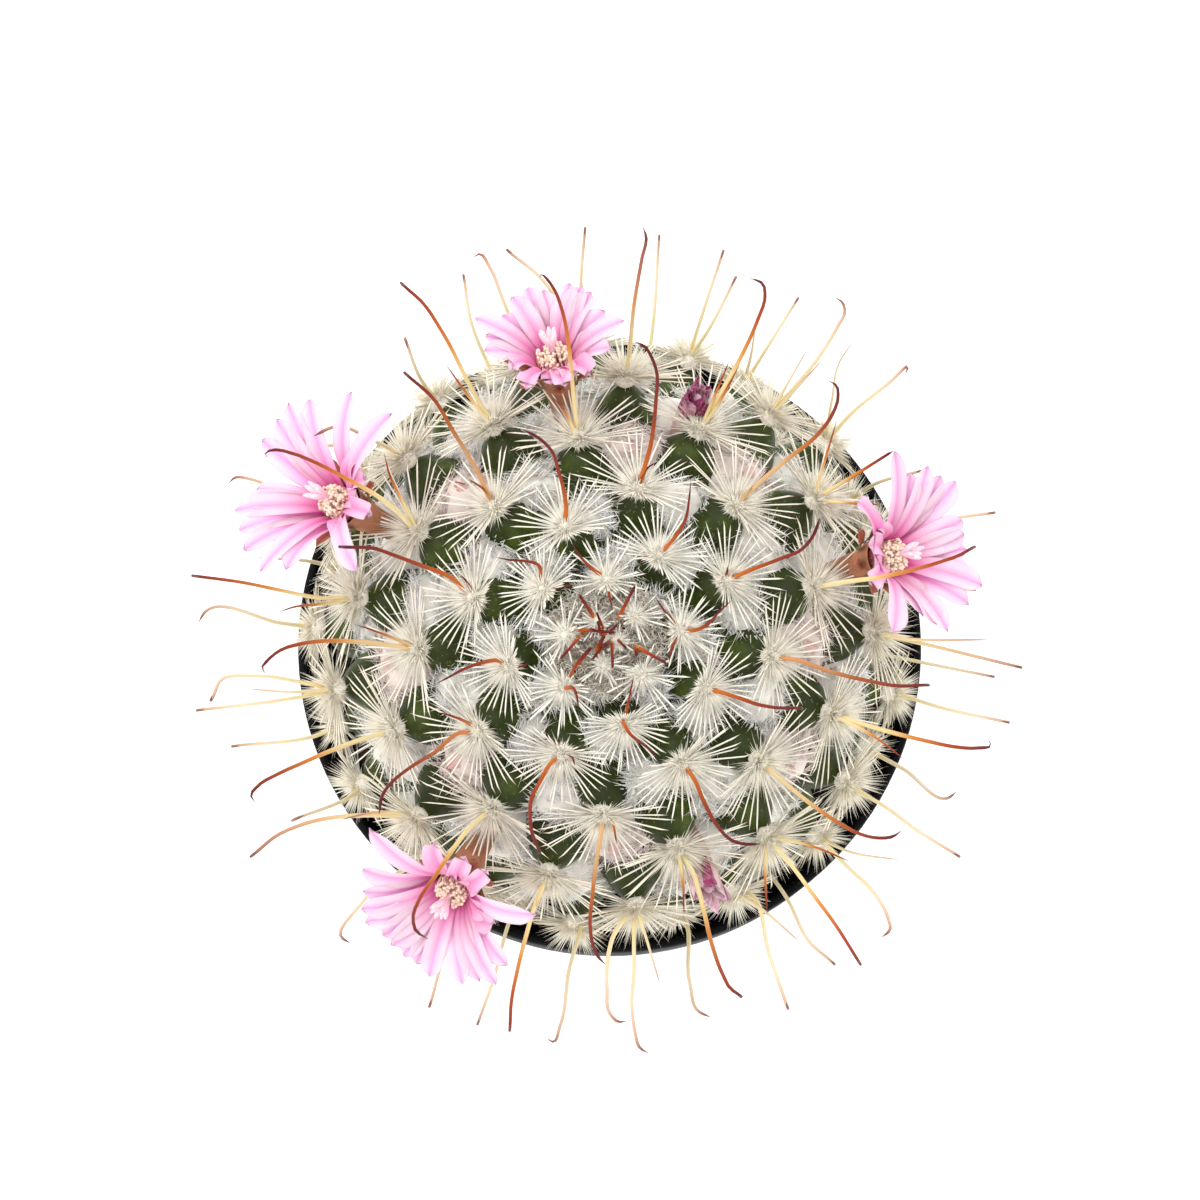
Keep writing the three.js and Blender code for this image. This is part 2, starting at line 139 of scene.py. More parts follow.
def areole(number):
    """The spine-bearing tip of a tubercle: its place, and the ways off and round the stem."""
    angle = spiral_angle(number)
    if number <= EQUATOR_NUMBER:
        lean = spiral_polar(number)
        out, up = STEM_RADIUS * math.sin(lean), STEM_RADIUS * math.cos(lean)
    else:
        drop = (number - EQUATOR_NUMBER) * DROP_PER_TUBERCLE
        lean = math.pi / 2
        out, up = STEM_RADIUS * math.sqrt(1 - (drop / LOWER_TUBERCLE_CURVE) ** 2), -drop
    facing = direction(lean, angle)
    outward = direction(lean + math.pi / 2, angle)
    sideways = np.array([-math.sin(angle), math.cos(angle), 0])
    tip = np.array([out * math.cos(angle), out * math.sin(angle), up])
    return Areole(
        number, tip, facing, outward, sideways, tubercle_spacing(lean), math.atan2(out, up), angle
    )


def clears_soil(a):
    height = EQUATOR_HEIGHT + a.tip[2] * math.cos(LEAN) + a.tip[1] * math.sin(LEAN)
    return height - TUBERCLE_WIDE * a.spacing > SOIL_TOP + RESTING_GAP


AREOLES = [a for a in map(areole, range(LAST_TUBERCLE + 1)) if clears_soil(a)]


def leaning(points):
    """Plant coordinates in mm as frame coordinates in mm."""
    x, y, z = np.moveaxis(np.asarray(points, float), -1, 0)
    cos, sin = math.cos(LEAN), math.sin(LEAN)
    right, back, up = PLANT_RIGHT, PLANT_BACK, EQUATOR_HEIGHT
    return np.stack([right + x, back + y * cos - z * sin, up + y * sin + z * cos], -1)


# Shapes


class Shape:
    """Points in mm, closed faces over them, and what the finishes read at each point."""

    def __init__(self, points, faces, marks=None, maps=None):
        self.points = np.asarray(points, float).reshape(-1, 3)
        self.faces = [np.asarray(f, int) for f in faces if len(f)]
        self.marks = marks or {}
        self.maps = maps

    def marked(self, **marks):
        for name, value in marks.items():
            self.marks[name] = np.broadcast_to(np.asarray(value, float), len(self.points))
        return self


def joined(shapes):
    start, points, faces = 0, [], []
    for shape in shapes:
        points.append(shape.points)
        faces += [f + start for f in shape.faces]
        start += len(shape.points)
    marks = {
        name: np.concatenate([s.marks.get(name, np.zeros(len(s.points))) for s in shapes])
        for name in sorted({n for s in shapes for n in s.marks})
    }
    return Shape(np.concatenate(points), faces, marks)


def bake_cells(count, rows, sides, pointed=False):
    """The bake's own map of a set of tubes: a cell for each, which the tube runs across."""
    columns = max(1, round(math.sqrt(count / 4)))
    lines = -(-count // columns)
    corner = np.stack([np.arange(count) % columns, np.arange(count) // columns], -1)
    along = np.linspace(0.08, 0.92, rows)
    lane = np.linspace(0.15, 0.85, sides + 1)
    cell = np.stack(np.meshgrid(along, lane, indexing="ij"), -1)
    quads = np.stack([cell[:-1, :-1], cell[:-1, 1:], cell[1:, 1:], cell[1:, :-1]], 2)
    turn = np.arange(sides) * 2 * math.pi / sides
    disc = np.stack([0.02 * np.cos(turn), 0.3 * np.sin(turn)], -1)
    ends = disc + [0.96, 0.5]
    if pointed:
        quads = quads[:-1]
        point = (cell[-1, :-1] + cell[-1, 1:]) / 2
        ends = np.stack([cell[-2, :-1], cell[-2, 1:], point], 1).reshape(-1, 2)
    parts = [quads.reshape(-1, 2), disc + [0.04, 0.5], ends]
    placed = [(corner[:, None] + part) / [columns, lines] for part in parts]
    return np.concatenate([p.reshape(-1, 2) for p in placed])


def ray_at(turn, front, side):
    """The way at an angle round from the front to the side."""
    return math.cos(turn) * front + math.sin(turn) * side


def spokes(ways, across, sides):
    """Unit vectors evenly round each way along a tube; across is never along it."""
    first = unit(np.cross(ways, np.broadcast_to(across[:, None], ways.shape)))
    second = np.cross(ways, first)
    turn = np.arange(sides) * 2 * math.pi / sides
    return np.cos(turn)[:, None] * first[:, :, None] + np.sin(turn)[:, None] * second[:, :, None]


def rings(centres, ways, across, radii, sides, marks):
    """Closed tubes: each a row of rings, given by their centres, ways along and radii."""
    count, rows = radii.shape
    points = centres[:, :, None] + radii[:, :, None, None] * spokes(ways, across, sides)

    index = np.arange(count * rows * sides).reshape(count, rows, sides)
    here, beside = index, np.roll(index, -1, axis=2)
    quads = np.stack([here[:, :-1], beside[:, :-1], beside[:, 1:], here[:, 1:]], -1)
    faces = [quads.reshape(-1, 4), index[:, 0, ::-1], index[:, -1]]
    spread = {}
    for name, value in marks.items():
        value = np.reshape(value, (count, -1, 1))
        spread[name] = np.broadcast_to(value, (count, rows, sides)).ravel()
    return Shape(points, faces, spread, bake_cells(count, rows, sides))


def strands(paths, radii, across, sides, marks):
    """Fine closed needles along paths of points, each ending in a sharp point."""
    count, rows = paths.shape[:2]
    reach = radii[:, :, None, None] * spokes(unit(np.gradient(paths, axis=1)), across, sides)
    body = (paths[:, :, None] + reach)[:, :-1].reshape(count, -1, 3)
    points = np.concatenate([body, paths[:, -1:]], 1)

    index = np.arange(points.shape[0] * points.shape[1]).reshape(count, -1)
    here = index[:, :-1].reshape(count, rows - 1, sides)
    beside = np.roll(here, -1, axis=2)
    tip = np.broadcast_to(index[:, -1:], (count, sides))
    quads = np.stack([here[:, :-1], beside[:, :-1], beside[:, 1:], here[:, 1:]], -1)
    ends = np.stack([here[:, -1], beside[:, -1], tip], -1)
    faces = [quads.reshape(-1, 4), here[:, 0, ::-1], ends.reshape(-1, 3)]

    spread = {}
    along = np.tile(np.linspace(0, 1, rows), (count, 1))
    for name, value in {"along": along, **marks}.items():
        value = np.broadcast_to(np.reshape(value, (count, -1)), (count, rows))
        value = np.concatenate([np.repeat(value[:, :-1], sides, axis=1), value[:, -1:]], 1)
        spread[name] = value.ravel()
    return Shape(points, faces, spread, bake_cells(count, rows, sides, pointed=True))


def turned(profile, sides):
    """A profile of (radius, height) turned about +Z, closed at both ends on the axis."""
    turn = np.arange(sides) * 2 * math.pi / sides
    points, rows = [], []
    for radius, height in profile:
        spots = turn if radius else turn[:1]
        rows.append(len(points) + np.arange(len(spots)))
        points += [(radius * math.cos(t), radius * math.sin(t), height) for t in spots]
    faces = []
    for low, high in zip(rows, rows[1:]):
        if len(low) == 1:
            faces.append(np.stack([np.full(sides, low[0]), np.roll(high, -1), high], -1))
        elif len(high) == 1:
            faces.append(np.stack([low, np.roll(low, -1), np.full(sides, high[0])], -1))
        else:
            faces.append(np.stack([low, np.roll(low, -1), np.roll(high, -1), high], -1))
    return Shape(points, faces)


def waves(points, length, rng, count=7):
    """Smooth lumps about half a length wide, from -1 to 1 or so."""
    ways = unit(rng.normal(size=(count, 3))) * rng.uniform(0.7, 1.4, (count, 1))
    phases = rng.uniform(0, 2 * math.pi, count)
    return np.sin(points @ ways.T * (2 * math.pi / length) + phases).sum(-1) / math.sqrt(count)


def bezier(controls, shares):
    """Points of a curve through the first and last control, at shares of the way along."""
    left = list(np.asarray(controls, float))
    shares = np.asarray(shares, float)[:, None]
    left = [c + 0 * shares for c in left]
    while len(left) > 1:
        left = [a + (b - a) * shares for a, b in zip(left, left[1:])]
    return left[0]


def ball(steps):
    """A round ball of near-equal triangles, one mm in radius."""
    bm = bmesh.new()
    bmesh.ops.create_icosphere(bm, subdivisions=steps, radius=1)
    points = np.array([v.co[:] for v in bm.verts])
    faces = np.array([[v.index for v in f.verts] for f in bm.faces])
    bm.free()
    return points, faces


def mesh_of(name, shape):
    mesh = bpy.data.meshes.new(name)
    mesh.vertices.add(len(shape.points))
    mesh.vertices.foreach_set("co", (shape.points * MM).ravel())
    corners = np.concatenate([f.ravel() for f in shape.faces])
    sizes = np.concatenate([np.full(len(f), f.shape[1]) for f in shape.faces])
    mesh.loops.add(len(corners))
    mesh.loops.foreach_set("vertex_index", corners)
    mesh.polygons.add(len(sizes))
    mesh.polygons.foreach_set("loop_start", np.concatenate([[0], np.cumsum(sizes)[:-1]]))
    mesh.update(calc_edges=True)
    for mark, values in shape.marks.items():
        mesh.attributes.new(mark, "FLOAT", "POINT").data.foreach_set("value", values)
    if shape.maps is not None:
        mesh.uv_layers.new(name="OFBake").data.foreach_set("uv", shape.maps.ravel())
    mesh.validate()
    mesh.shade_smooth()
    return mesh


def add_piece(name, shape, finish, stands_for=(), mend=False):
    """Puts a piece into the scene, on the only body that the plant and its pot have."""
    mesh = mesh_of(name, shape)
    if mend:
        bm = bmesh.new()
        bm.from_mesh(mesh)
        bmesh.ops.recalc_face_normals(bm, faces=bm.faces)
        bm.to_mesh(mesh)
        bm.free()
    piece = bpy.data.objects.new(name, mesh)
    bpy.context.scene.collection.objects.link(piece)
    mesh.materials.append(finish)
    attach(piece, "root")
    if stands_for:
        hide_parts(*stands_for)
    return piece


# Finishes


def srgb(code):
    """A colour written as #rrggbb, as the linear colour that Blender wants."""
    parts = [int(code[i : i + 2], 16) / 255 for i in (1, 3, 5)]
    return (*[p / 12.92 if p <= 0.04045 else ((p + 0.055) / 1.055) ** 2.4 for p in parts], 1)


def add(tree, kind, inputs=None, stops=None, **settings):
    """Adds a node with its settings, its ramp's stops and its inputs, each a value or a socket."""
    node = tree.nodes.new("ShaderNode" + kind)
    for name, value in settings.items():
        setattr(node, name, value)
    for name, value in (inputs or {}).items():
        if isinstance(value, bpy.types.NodeSocket):
            tree.links.new(value, node.inputs[name])
        else:
            node.inputs[name].default_value = value
    if stops:
        ramp = node.color_ramp.elements
        while len(ramp) < len(stops):
            ramp.new(1)
        for element, (place, colour) in zip(ramp, stops):
            element.position = place
            element.color = srgb(colour)
    return node


def new_finish(name):
    finish = bpy.data.materials.new(name)
    finish.use_nodes = True
    finish.node_tree.nodes.clear()
    return finish, finish.node_tree


def finished(tree, **sockets):
    """The surface of a finish, with the shader's sockets set or linked by name."""
    inputs = {name.replace("_", " "): value for name, value in sockets.items()}
    shader = add(tree, "BsdfPrincipled", inputs)
    add(tree, "OutputMaterial", {"Surface": shader.outputs["BSDF"]})


def per_metre(mm):
    """The scale of a pattern whose repeats are this far apart."""
    return 1000 / mm


def relief(tree, mm, detail, strength, depth):
    """Lumps this many mm apart and deep: their height, and the normal that they give."""
    place = add(tree, "TexCoord").outputs["Object"]
    lumps = add(tree, "TexNoise", {"Vector": place, "Scale": per_metre(mm), "Detail": detail})
    height = lumps.outputs["Fac"]
    bump = add(tree, "Bump", {"Height": height, "Strength": strength, "Distance": depth * MM})
    return height, bump.outputs["Normal"]


def laid_over(tree, along, first, *later):
    """A ramp along a piece, over which each later (factor, ramp) is laid by its factor."""
    colour = add(tree, "ValToRGB", {"Fac": along}, stops=first).outputs["Color"]
    for factor, stops in later:
        over = add(tree, "ValToRGB", {"Fac": along}, stops=stops).outputs["Color"]
        inputs = {"Factor": factor, "A": colour, "B": over}
        colour = add(tree, "Mix", inputs, data_type="RGBA").outputs["Result"]
    return colour


def varied(tree, colour, by, low, high, start=0.0, end=1.0):
    """The colour with its brightness taken from low to high, as by runs from start to end."""
    limits = {"From Min": start, "From Max": end, "To Min": low, "To Max": high}
    value = add(tree, "MapRange", {"Value": by, **limits}).outputs["Result"]
    return add(tree, "HueSaturation", {"Color": colour, "Value": value}).outputs["Color"]


def moulded_polypropylene():
    # Injection-moulded black polypropylene: near black and satin, with the faint
    # orange-peel of a cheap mould that breaks up its highlights.
    finish, tree = new_finish("moulded_polypropylene")
    _, peel = relief(tree, 0.7, 3.0, 0.25, 0.05)
    place = add(tree, "TexCoord").outputs["Object"]
    patches = add(tree, "TexNoise", {"Vector": place, "Scale": per_metre(9), "Detail": 4.0})
    patch = patches.outputs["Fac"]
    rough = add(tree, "MapRange", {"Value": patch, "To Min": 0.44, "To Max": 0.6})
    colour = add(tree, "ValToRGB", {"Fac": patch}, stops=[(0.3, "#050506"), (0.75, "#0b0b0c")])
    finished(
        tree,
        Base_Color=colour.outputs["Color"],
        Roughness=rough.outputs["Result"],
        Normal=peel,
        IOR=1.49,
        Specular_IOR_Level=0.05,
    )
    return finish


def damp_peat():
    # Peat potting mix, watered and settled: dark brown crumbs that scatter light and never shine.
    finish, tree = new_finish("damp_peat")
    height, crumbs = relief(tree, 1.6, 5.0, 0.8, 0.5)
    browns = [(0.3, "#120d09"), (0.5, "#241a13"), (0.68, "#3a2c20"), (0.8, "#6d5a44")]
    colour = add(tree, "ValToRGB", {"Fac": height}, stops=browns).outputs["Color"]
    finished(tree, Base_Color=colour, Roughness=0.92, Normal=crumbs, IOR=1.4)
    return finish


def waxy_skin():
    # Cactus epidermis under a thin wax: deep green and softly glossy, mottled lighter and
    # darker, with scattered pale pinprick flecks about 0.2 mm wide.
    finish, tree = new_finish("waxy_skin")
    place = add(tree, "TexCoord").outputs["Object"]
    mottle = add(tree, "TexNoise", {"Vector": place, "Scale": per_metre(3.2), "Detail": 4.0})
    greens = [(0.3, "#192004"), (0.55, "#293406"), (0.75, "#455514")]
    green = add(tree, "ValToRGB", {"Fac": mottle.outputs["Fac"]}, stops=greens)
    cells = add(tree, "TexVoronoi", {"Vector": place, "Scale": per_metre(0.55), "Randomness": 1.0})
    limits = {"From Min": 0.1, "From Max": 0.24, "To Min": 0.22, "To Max": 0.0}
    fleck = add(tree, "MapRange", {"Value": cells.outputs["Distance"], **limits}).outputs["Result"]
    inputs = {"Factor": fleck, "A": green.outputs["Color"], "B": srgb("#8c9c68")}
    colour = add(tree, "Mix", inputs, data_type="RGBA")
    bump = add(tree, "Bump", {"Height": fleck, "Strength": 0.3, "Distance": 0.05 * MM})
    finished(
        tree,
        Base_Color=colour.outputs["Result"],
        Roughness=0.45,
        Normal=bump.outputs["Normal"],
        IOR=1.42,
        Specular_IOR_Level=0.2,
        Coat_Weight=0.04,
        Coat_Roughness=0.3,
    )
    return finish


def ivory_bristle():
    # Dead spine fibre, as hard and glossy as horn: ivory, warmer on the older tubercles and
    # towards its tip, and each bristle a shade of its own.
    finish, tree = new_finish("ivory_bristle")
    along = add(tree, "Attribute", attribute_name="along").outputs["Fac"]
    tint = add(tree, "Attribute", attribute_name="tint").outputs["Fac"]
    age = add(tree, "Attribute", attribute_name="age").outputs["Fac"]
    young = [(0.0, "#fefbf3"), (0.4, "#fbf7ea"), (1.0, "#f3edd8")]
    old = [(0.0, "#fff8e4"), (0.4, "#fdf3da"), (1.0, "#f3e6c2")]
    colour = varied(tree, laid_over(tree, along, young, (age, old)), tint, 0.9, 1.05)
    finished(tree, Base_Color=colour, Roughness=0.4, IOR=1.54)
    return finish


def hooked_horn():
    # Central spines are the same horn, stained by the plant: orange to maroon on the young
    # ones at the crown, straw yellow with an orange shank and a maroon hook on the older ones.
    finish, tree = new_finish("hooked_horn")
    along = add(tree, "Attribute", attribute_name="along").outputs["Fac"]
    tint = add(tree, "Attribute", attribute_name="tint").outputs["Fac"]
    age = add(tree, "Attribute", attribute_name="age").outputs["Fac"]
    young = [
        (0.0, "#e4ac62"),
        (0.08, "#cb6c26"),
        (0.28, "#b25016"),
        (0.5, "#8a3014"),
        (0.76, "#651c18"),
        (0.97, "#451016"),
        (1.0, "#6d3a38"),
    ]
    old = [
        (0.0, "#ecd68c"),
        (0.12, "#f3e2ac"),
        (0.4, "#ecd08e"),
        (0.57, "#cd7c30"),
        (0.76, "#9c3c16"),
        (0.96, "#58181a"),
        (1.0, "#7d4a3c"),
    ]
    pale = [
        (0.0, "#eed98e"),
        (0.3, "#f3e2b0"),
        (0.68, "#ecd4b0"),
        (0.88, "#cda48a"),
        (0.96, "#8a5846"),
        (1.0, "#5f4038"),
    ]
    older = add(tree, "MapRange", {"Value": age, "From Min": 0.5, "From Max": 0.72})
    oldest = add(tree, "MapRange", {"Value": age, "From Min": 1.0, "From Max": 1.14})
    later = [(older.outputs["Result"], old), (oldest.outputs["Result"], pale)]
    finished(
        tree,
        Base_Color=varied(tree, laid_over(tree, along, young, *later), tint, 0.88, 1.1),
        Roughness=0.42,
        IOR=1.54,
        Specular_IOR_Level=0.12,
    )
    return finish


def matted_wool():
    # Plant wool, fine as cobweb and matted by weather: dull warm white, pink where a bud lies
    # under it, and each lock a shade of its own. The real fibres, 0.02 mm thick, are too fine
    # to show, so they are drawn 0.1 to 0.2 mm thick at the root and run out to a point.
    finish, tree = new_finish("matted_wool")
    tint = add(tree, "Attribute", attribute_name="tint").outputs["Fac"]
    blush = add(tree, "Attribute", attribute_name="blush").outputs["Fac"]
    _, tufts = relief(tree, 1.3, 4.0, 0.6, 0.2)
    # The ramp's low end, beige brown, is painted shade: the new wool at the crown is drawn in it
    whites = [(0.0, "#a08b6c"), (0.35, "#e6e2d7"), (0.7, "#f8f6ef"), (1.0, "#ffffff")]
    lock = add(tree, "ValToRGB", {"Fac": tint}, stops=whites).outputs["Color"]
    inputs = {"Factor": blush, "A": lock, "B": srgb("#f3cfc9")}
    pinked = add(tree, "Mix", inputs, data_type="RGBA").outputs["Result"]
    finished(tree, Base_Color=pinked, Roughness=0.95, Normal=tufts)
    return finish


def areole_felt():
    # The short dense felt that cushions each set of spines: brighter and cleaner than the
    # wool below it, with a warm tinge.
    finish, tree = new_finish("areole_felt")
    height, nap = relief(tree, 0.4, 4.0, 0.6, 0.12)
    creams = [(0.3, "#fbf2dc"), (0.5, "#fff9e8"), (0.7, "#fffdf4")]
    colour = add(tree, "ValToRGB", {"Fac": height}, stops=creams).outputs["Color"]
    finished(tree, Base_Color=colour, Roughness=0.9, Normal=nap)
    return finish


def petal_tissue():
    # Living petal: thin, juicy and half see-through. Pale pink with a narrow lilac-magenta
    # stripe down the middle, deepening to strong magenta in the throat; a silky low gloss.
    finish, tree = new_finish("petal_tissue")
    along = add(tree, "Attribute", attribute_name="along").outputs["Fac"]
    across = add(tree, "Attribute", attribute_name="across").outputs["Fac"]
    tint = add(tree, "Attribute", attribute_name="tint").outputs["Fac"]
    blade = [
        (0.0, "#d8347f"),
        (0.2, "#ea74b0"),
        (0.38, "#f2a6cc"),
        (0.6, "#f5c5de"),
        (0.9, "#f5c8e2"),
        (1.0, "#e7a4d0"),
    ]
    stripe = [
        (0.0, "#cc2a7c"),
        (0.25, "#df5c9e"),
        (0.5, "#e284bc"),
        (0.8, "#db89c4"),
        (1.0, "#d07cbc"),
    ]
    off_middle = add(tree, "Math", {0: across}, operation="ABSOLUTE").outputs["Value"]
    limits = {"From Max": 0.56, "To Min": 0.78, "To Max": 0.0}
    band = add(tree, "MapRange", {"Value": off_middle, **limits}).outputs["Result"]
    _, veins = relief(tree, 0.6, 3.0, 0.2, 0.05)
    finished(
        tree,
        Base_Color=varied(tree, laid_over(tree, along, blade, (band, stripe)), tint, 0.93, 1.05),
        Roughness=0.5,
        Normal=veins,
        IOR=1.4,
        Subsurface_Weight=0.3,
        Subsurface_Radius=(0.9 * MM, 0.4 * MM, 0.8 * MM),
        Subsurface_Scale=1.0,
        Sheen_Weight=0.15,
    )
    return finish


def two_tone(name, base, tip, roughness, ior, grain_mm, middle):
    """Flesh whose colour runs from its base to its tip, with a fine grain."""
    finish, tree = new_finish(name)
    along = add(tree, "Attribute", attribute_name="along").outputs["Fac"]
    height, grain = relief(tree, grain_mm, 3.0, 0.3, 0.06)
    stops = [(0.0, base), (middle, base), (middle + 0.25, tip), (1.0, tip)]
    colour = varied(tree, laid_over(tree, along, stops), height, 0.85, 1.1, 0.3, 0.7)
    finished(tree, Base_Color=colour, Roughness=roughness, Normal=grain, IOR=ior)
    return finish


def withered_petal():
    # Petals of a spent flower, limp and drying: some bleached to pinkish white, the others
    # deepened to dull magenta, browner towards their feet, and with no gloss left.
    finish, tree = new_finish("withered_petal")
    along = add(tree, "Attribute", attribute_name="along").outputs["Fac"]
    tint = add(tree, "Attribute", attribute_name="tint").outputs["Fac"]
    height, creases = relief(tree, 0.5, 4.0, 0.5, 0.1)
    bleached = [(0.0, "#9c7a5a"), (0.35, "#d9b0a4"), (0.75, "#ecd2cf"), (1.0, "#e9b9cf")]
    deep = [(0.0, "#6d3a30"), (0.35, "#86284e"), (0.8, "#8e2a58"), (1.0, "#6f1d3e")]
    limits = {"From Min": 0.35, "From Max": 0.65, "To Min": -0.2, "To Max": 0.2}
    blotch = add(tree, "MapRange", {"Value": height, **limits}).outputs["Result"]
    share = add(tree, "Math", {0: tint, 1: blotch}, operation="ADD", use_clamp=True)
    finished(
        tree,
        Base_Color=laid_over(tree, along, bleached, (share.outputs["Value"], deep)),
        Roughness=0.7,
        Normal=creases,
        IOR=1.4,
        Subsurface_Weight=0.2,
        Subsurface_Radius=(0.7 * MM, 0.3 * MM, 0.5 * MM),
        Subsurface_Scale=1.0,
    )
    return finish


def opal_acrylic():
    # The studio's light table: matt opal acrylic sheet, lit faintly from below, so that the
    # shadow on it is all but gone.
    finish, tree = new_finish("opal_acrylic")
    place = add(tree, "TexCoord").outputs["Object"]
    haze = add(tree, "TexNoise", {"Vector": place, "Scale": per_metre(40)}).outputs["Fac"]
    colour = add(tree, "ValToRGB", {"Fac": haze}, stops=[(0.0, "#f4f4f3"), (1.0, "#f8f8f7")])
    finished(
        tree,
        Base_Color=colour.outputs["Color"],
        Roughness=0.9,
        Emission_Color=srgb("#ffffff"),
        Emission_Strength=0.42,
    )
    return finish


# Studio


def set_up_studio():
    scene = bpy.context.scene
    floor = bpy.data.meshes.new("studio_floor")
    half = 3.0
    corners = [(-half, -half, 0), (half, -half, 0), (half, half, 0), (-half, half, 0)]
    floor.from_pydata(corners, [], [(0, 1, 2, 3)])
    floor.materials.append(opal_acrylic())
    table = bpy.data.objects.new("studio_floor", floor)
    scene.collection.objects.link(table)

    world = bpy.data.worlds.new("studio_tent")
    world.use_nodes = True
    sky = world.node_tree.nodes["Background"]
    sky.inputs["Color"].default_value = srgb("#ffffff")
    sky.inputs["Strength"].default_value = 1.18
    scene.world = world

    lamp = bpy.data.lights.new("overhead_softbox", "AREA")
    lamp.shape = "SQUARE"
    lamp.size = 0.9
    lamp.energy = 3.2
    softbox = bpy.data.objects.new("overhead_softbox", lamp)
    softbox.location = (-0.25, 0.2, 0.75)
    away = softbox.location - Vector((0, 0, EQUATOR_HEIGHT * MM))
    softbox.rotation_euler = away.to_track_quat("Z", "Y").to_euler()
    scene.collection.objects.link(softbox)

    scene.view_settings.view_transform = "Standard"
    scene.view_settings.look = "None"
    scene.view_settings.gamma = 1.12


def set_up_camera():
    """Looks almost straight down, a little from the front."""
    scene = bpy.context.scene
    elevation = math.pi / 2 - LEAN
    target = Vector(leaning([*VIEW_CENTRE, 0.0])) * MM
    back = Vector((0, -math.cos(elevation), math.sin(elevation)))
    lens = bpy.data.cameras.new("camera")
    lens.lens = LENS_MM
    lens.sensor_width = SENSOR_MM
    lens.clip_start = 0.01
    camera = bpy.data.objects.new("camera", lens)
    camera.location = target + back * CAMERA_DISTANCE * MM
    camera.rotation_euler = back.to_track_quat("Z", "Y").to_euler()
    scene.collection.objects.link(camera)
    scene.camera = camera


# Pot and soil


def make_pot():
    foot = LIP_FOOT
    lip = POT_SHOULDER_RADIUS + LIP_STEP
    inside = POT_RIM_RADIUS - POT_WALL
    profile = [
        (0, 0.5),
        (POT_BASE_RADIUS - 2.6, 0.5),
        (POT_BASE_RADIUS - 2.2, 0.1),
        (POT_BASE_RADIUS - 2.0, 0),
        (POT_BASE_RADIUS - 0.5, 0),
        (POT_BASE_RADIUS - 0.12, 0.15),
        (POT_BASE_RADIUS, 0.5),
    ]
    for share in np.linspace(0.04, 0.985, 16):
        profile.append((POT_BASE_RADIUS + FLARE * share, foot * share))
    profile += [
        (POT_SHOULDER_RADIUS, foot - 0.1),
        (POT_SHOULDER_RADIUS + 0.1, foot),
        (lip - 0.35, foot),
        (lip - 0.08, foot + 0.12),
        (lip, foot + 0.4),
        (lip + 0.12, foot + 2.0),
        (POT_RIM_RADIUS - 0.03, POT_HEIGHT - 0.6),
        (POT_RIM_RADIUS - 0.12, POT_HEIGHT - 0.2),
        (POT_RIM_RADIUS - 0.35, POT_HEIGHT - 0.02),
        (POT_RIM_RADIUS - POT_WALL / 2, POT_HEIGHT),
        (inside + 0.35, POT_HEIGHT - 0.02),
        (inside + 0.1, POT_HEIGHT - 0.2),
        (inside, POT_HEIGHT - 0.6),
        (lip - POT_WALL + 0.12, foot + 2.0),
        (lip - POT_WALL, foot + POT_WALL),
        (POT_SHOULDER_RADIUS - POT_WALL + 0.5, foot + 0.25),
        (POT_SHOULDER_RADIUS - POT_WALL, foot),
    ]
    for share in np.linspace(0.96, 0.05, 10):
        height = POT_FLOOR + (foot - POT_FLOOR) * share
        profile.append((POT_BASE_RADIUS - POT_WALL + FLARE * share, height))
    profile += [(POT_BASE_RADIUS - POT_WALL - 0.3, POT_FLOOR), (0, POT_FLOOR)]
    plastic = moulded_polypropylene()
    piece = add_piece("nursery_pot", turned(profile, 128), plastic, ["pot"])

    drills = []
    for i in range(DRAIN_HOLES):
        angle = (i + 0.5) * 2 * math.pi / DRAIN_HOLES
        drill = turned([(0, -3), (DRAIN_RADIUS, -3), (DRAIN_RADIUS, 4), (0, 4)], 32)
        drill.points += [DRAIN_CIRCLE * math.cos(angle), DRAIN_CIRCLE * math.sin(angle), 0]
        drills.append(drill)
    cutter = bpy.data.objects.new("drain_drills", mesh_of("drain_drills", joined(drills)))
    bpy.context.scene.collection.objects.link(cutter)
    cut = piece.modifiers.new("drain_holes", "BOOLEAN")
    cut.object, cut.operation, cut.solver = cutter, "DIFFERENCE", "EXACT"
    shaped = piece.evaluated_get(bpy.context.evaluated_depsgraph_get())
    drilled = bpy.data.meshes.new_from_object(shaped)
    piece.modifiers.remove(cut)
    piece.data = drilled
    bpy.data.objects.remove(cutter)
    drilled.set_sharp_from_angle(angle=math.radians(50))


CRUMBS = 420


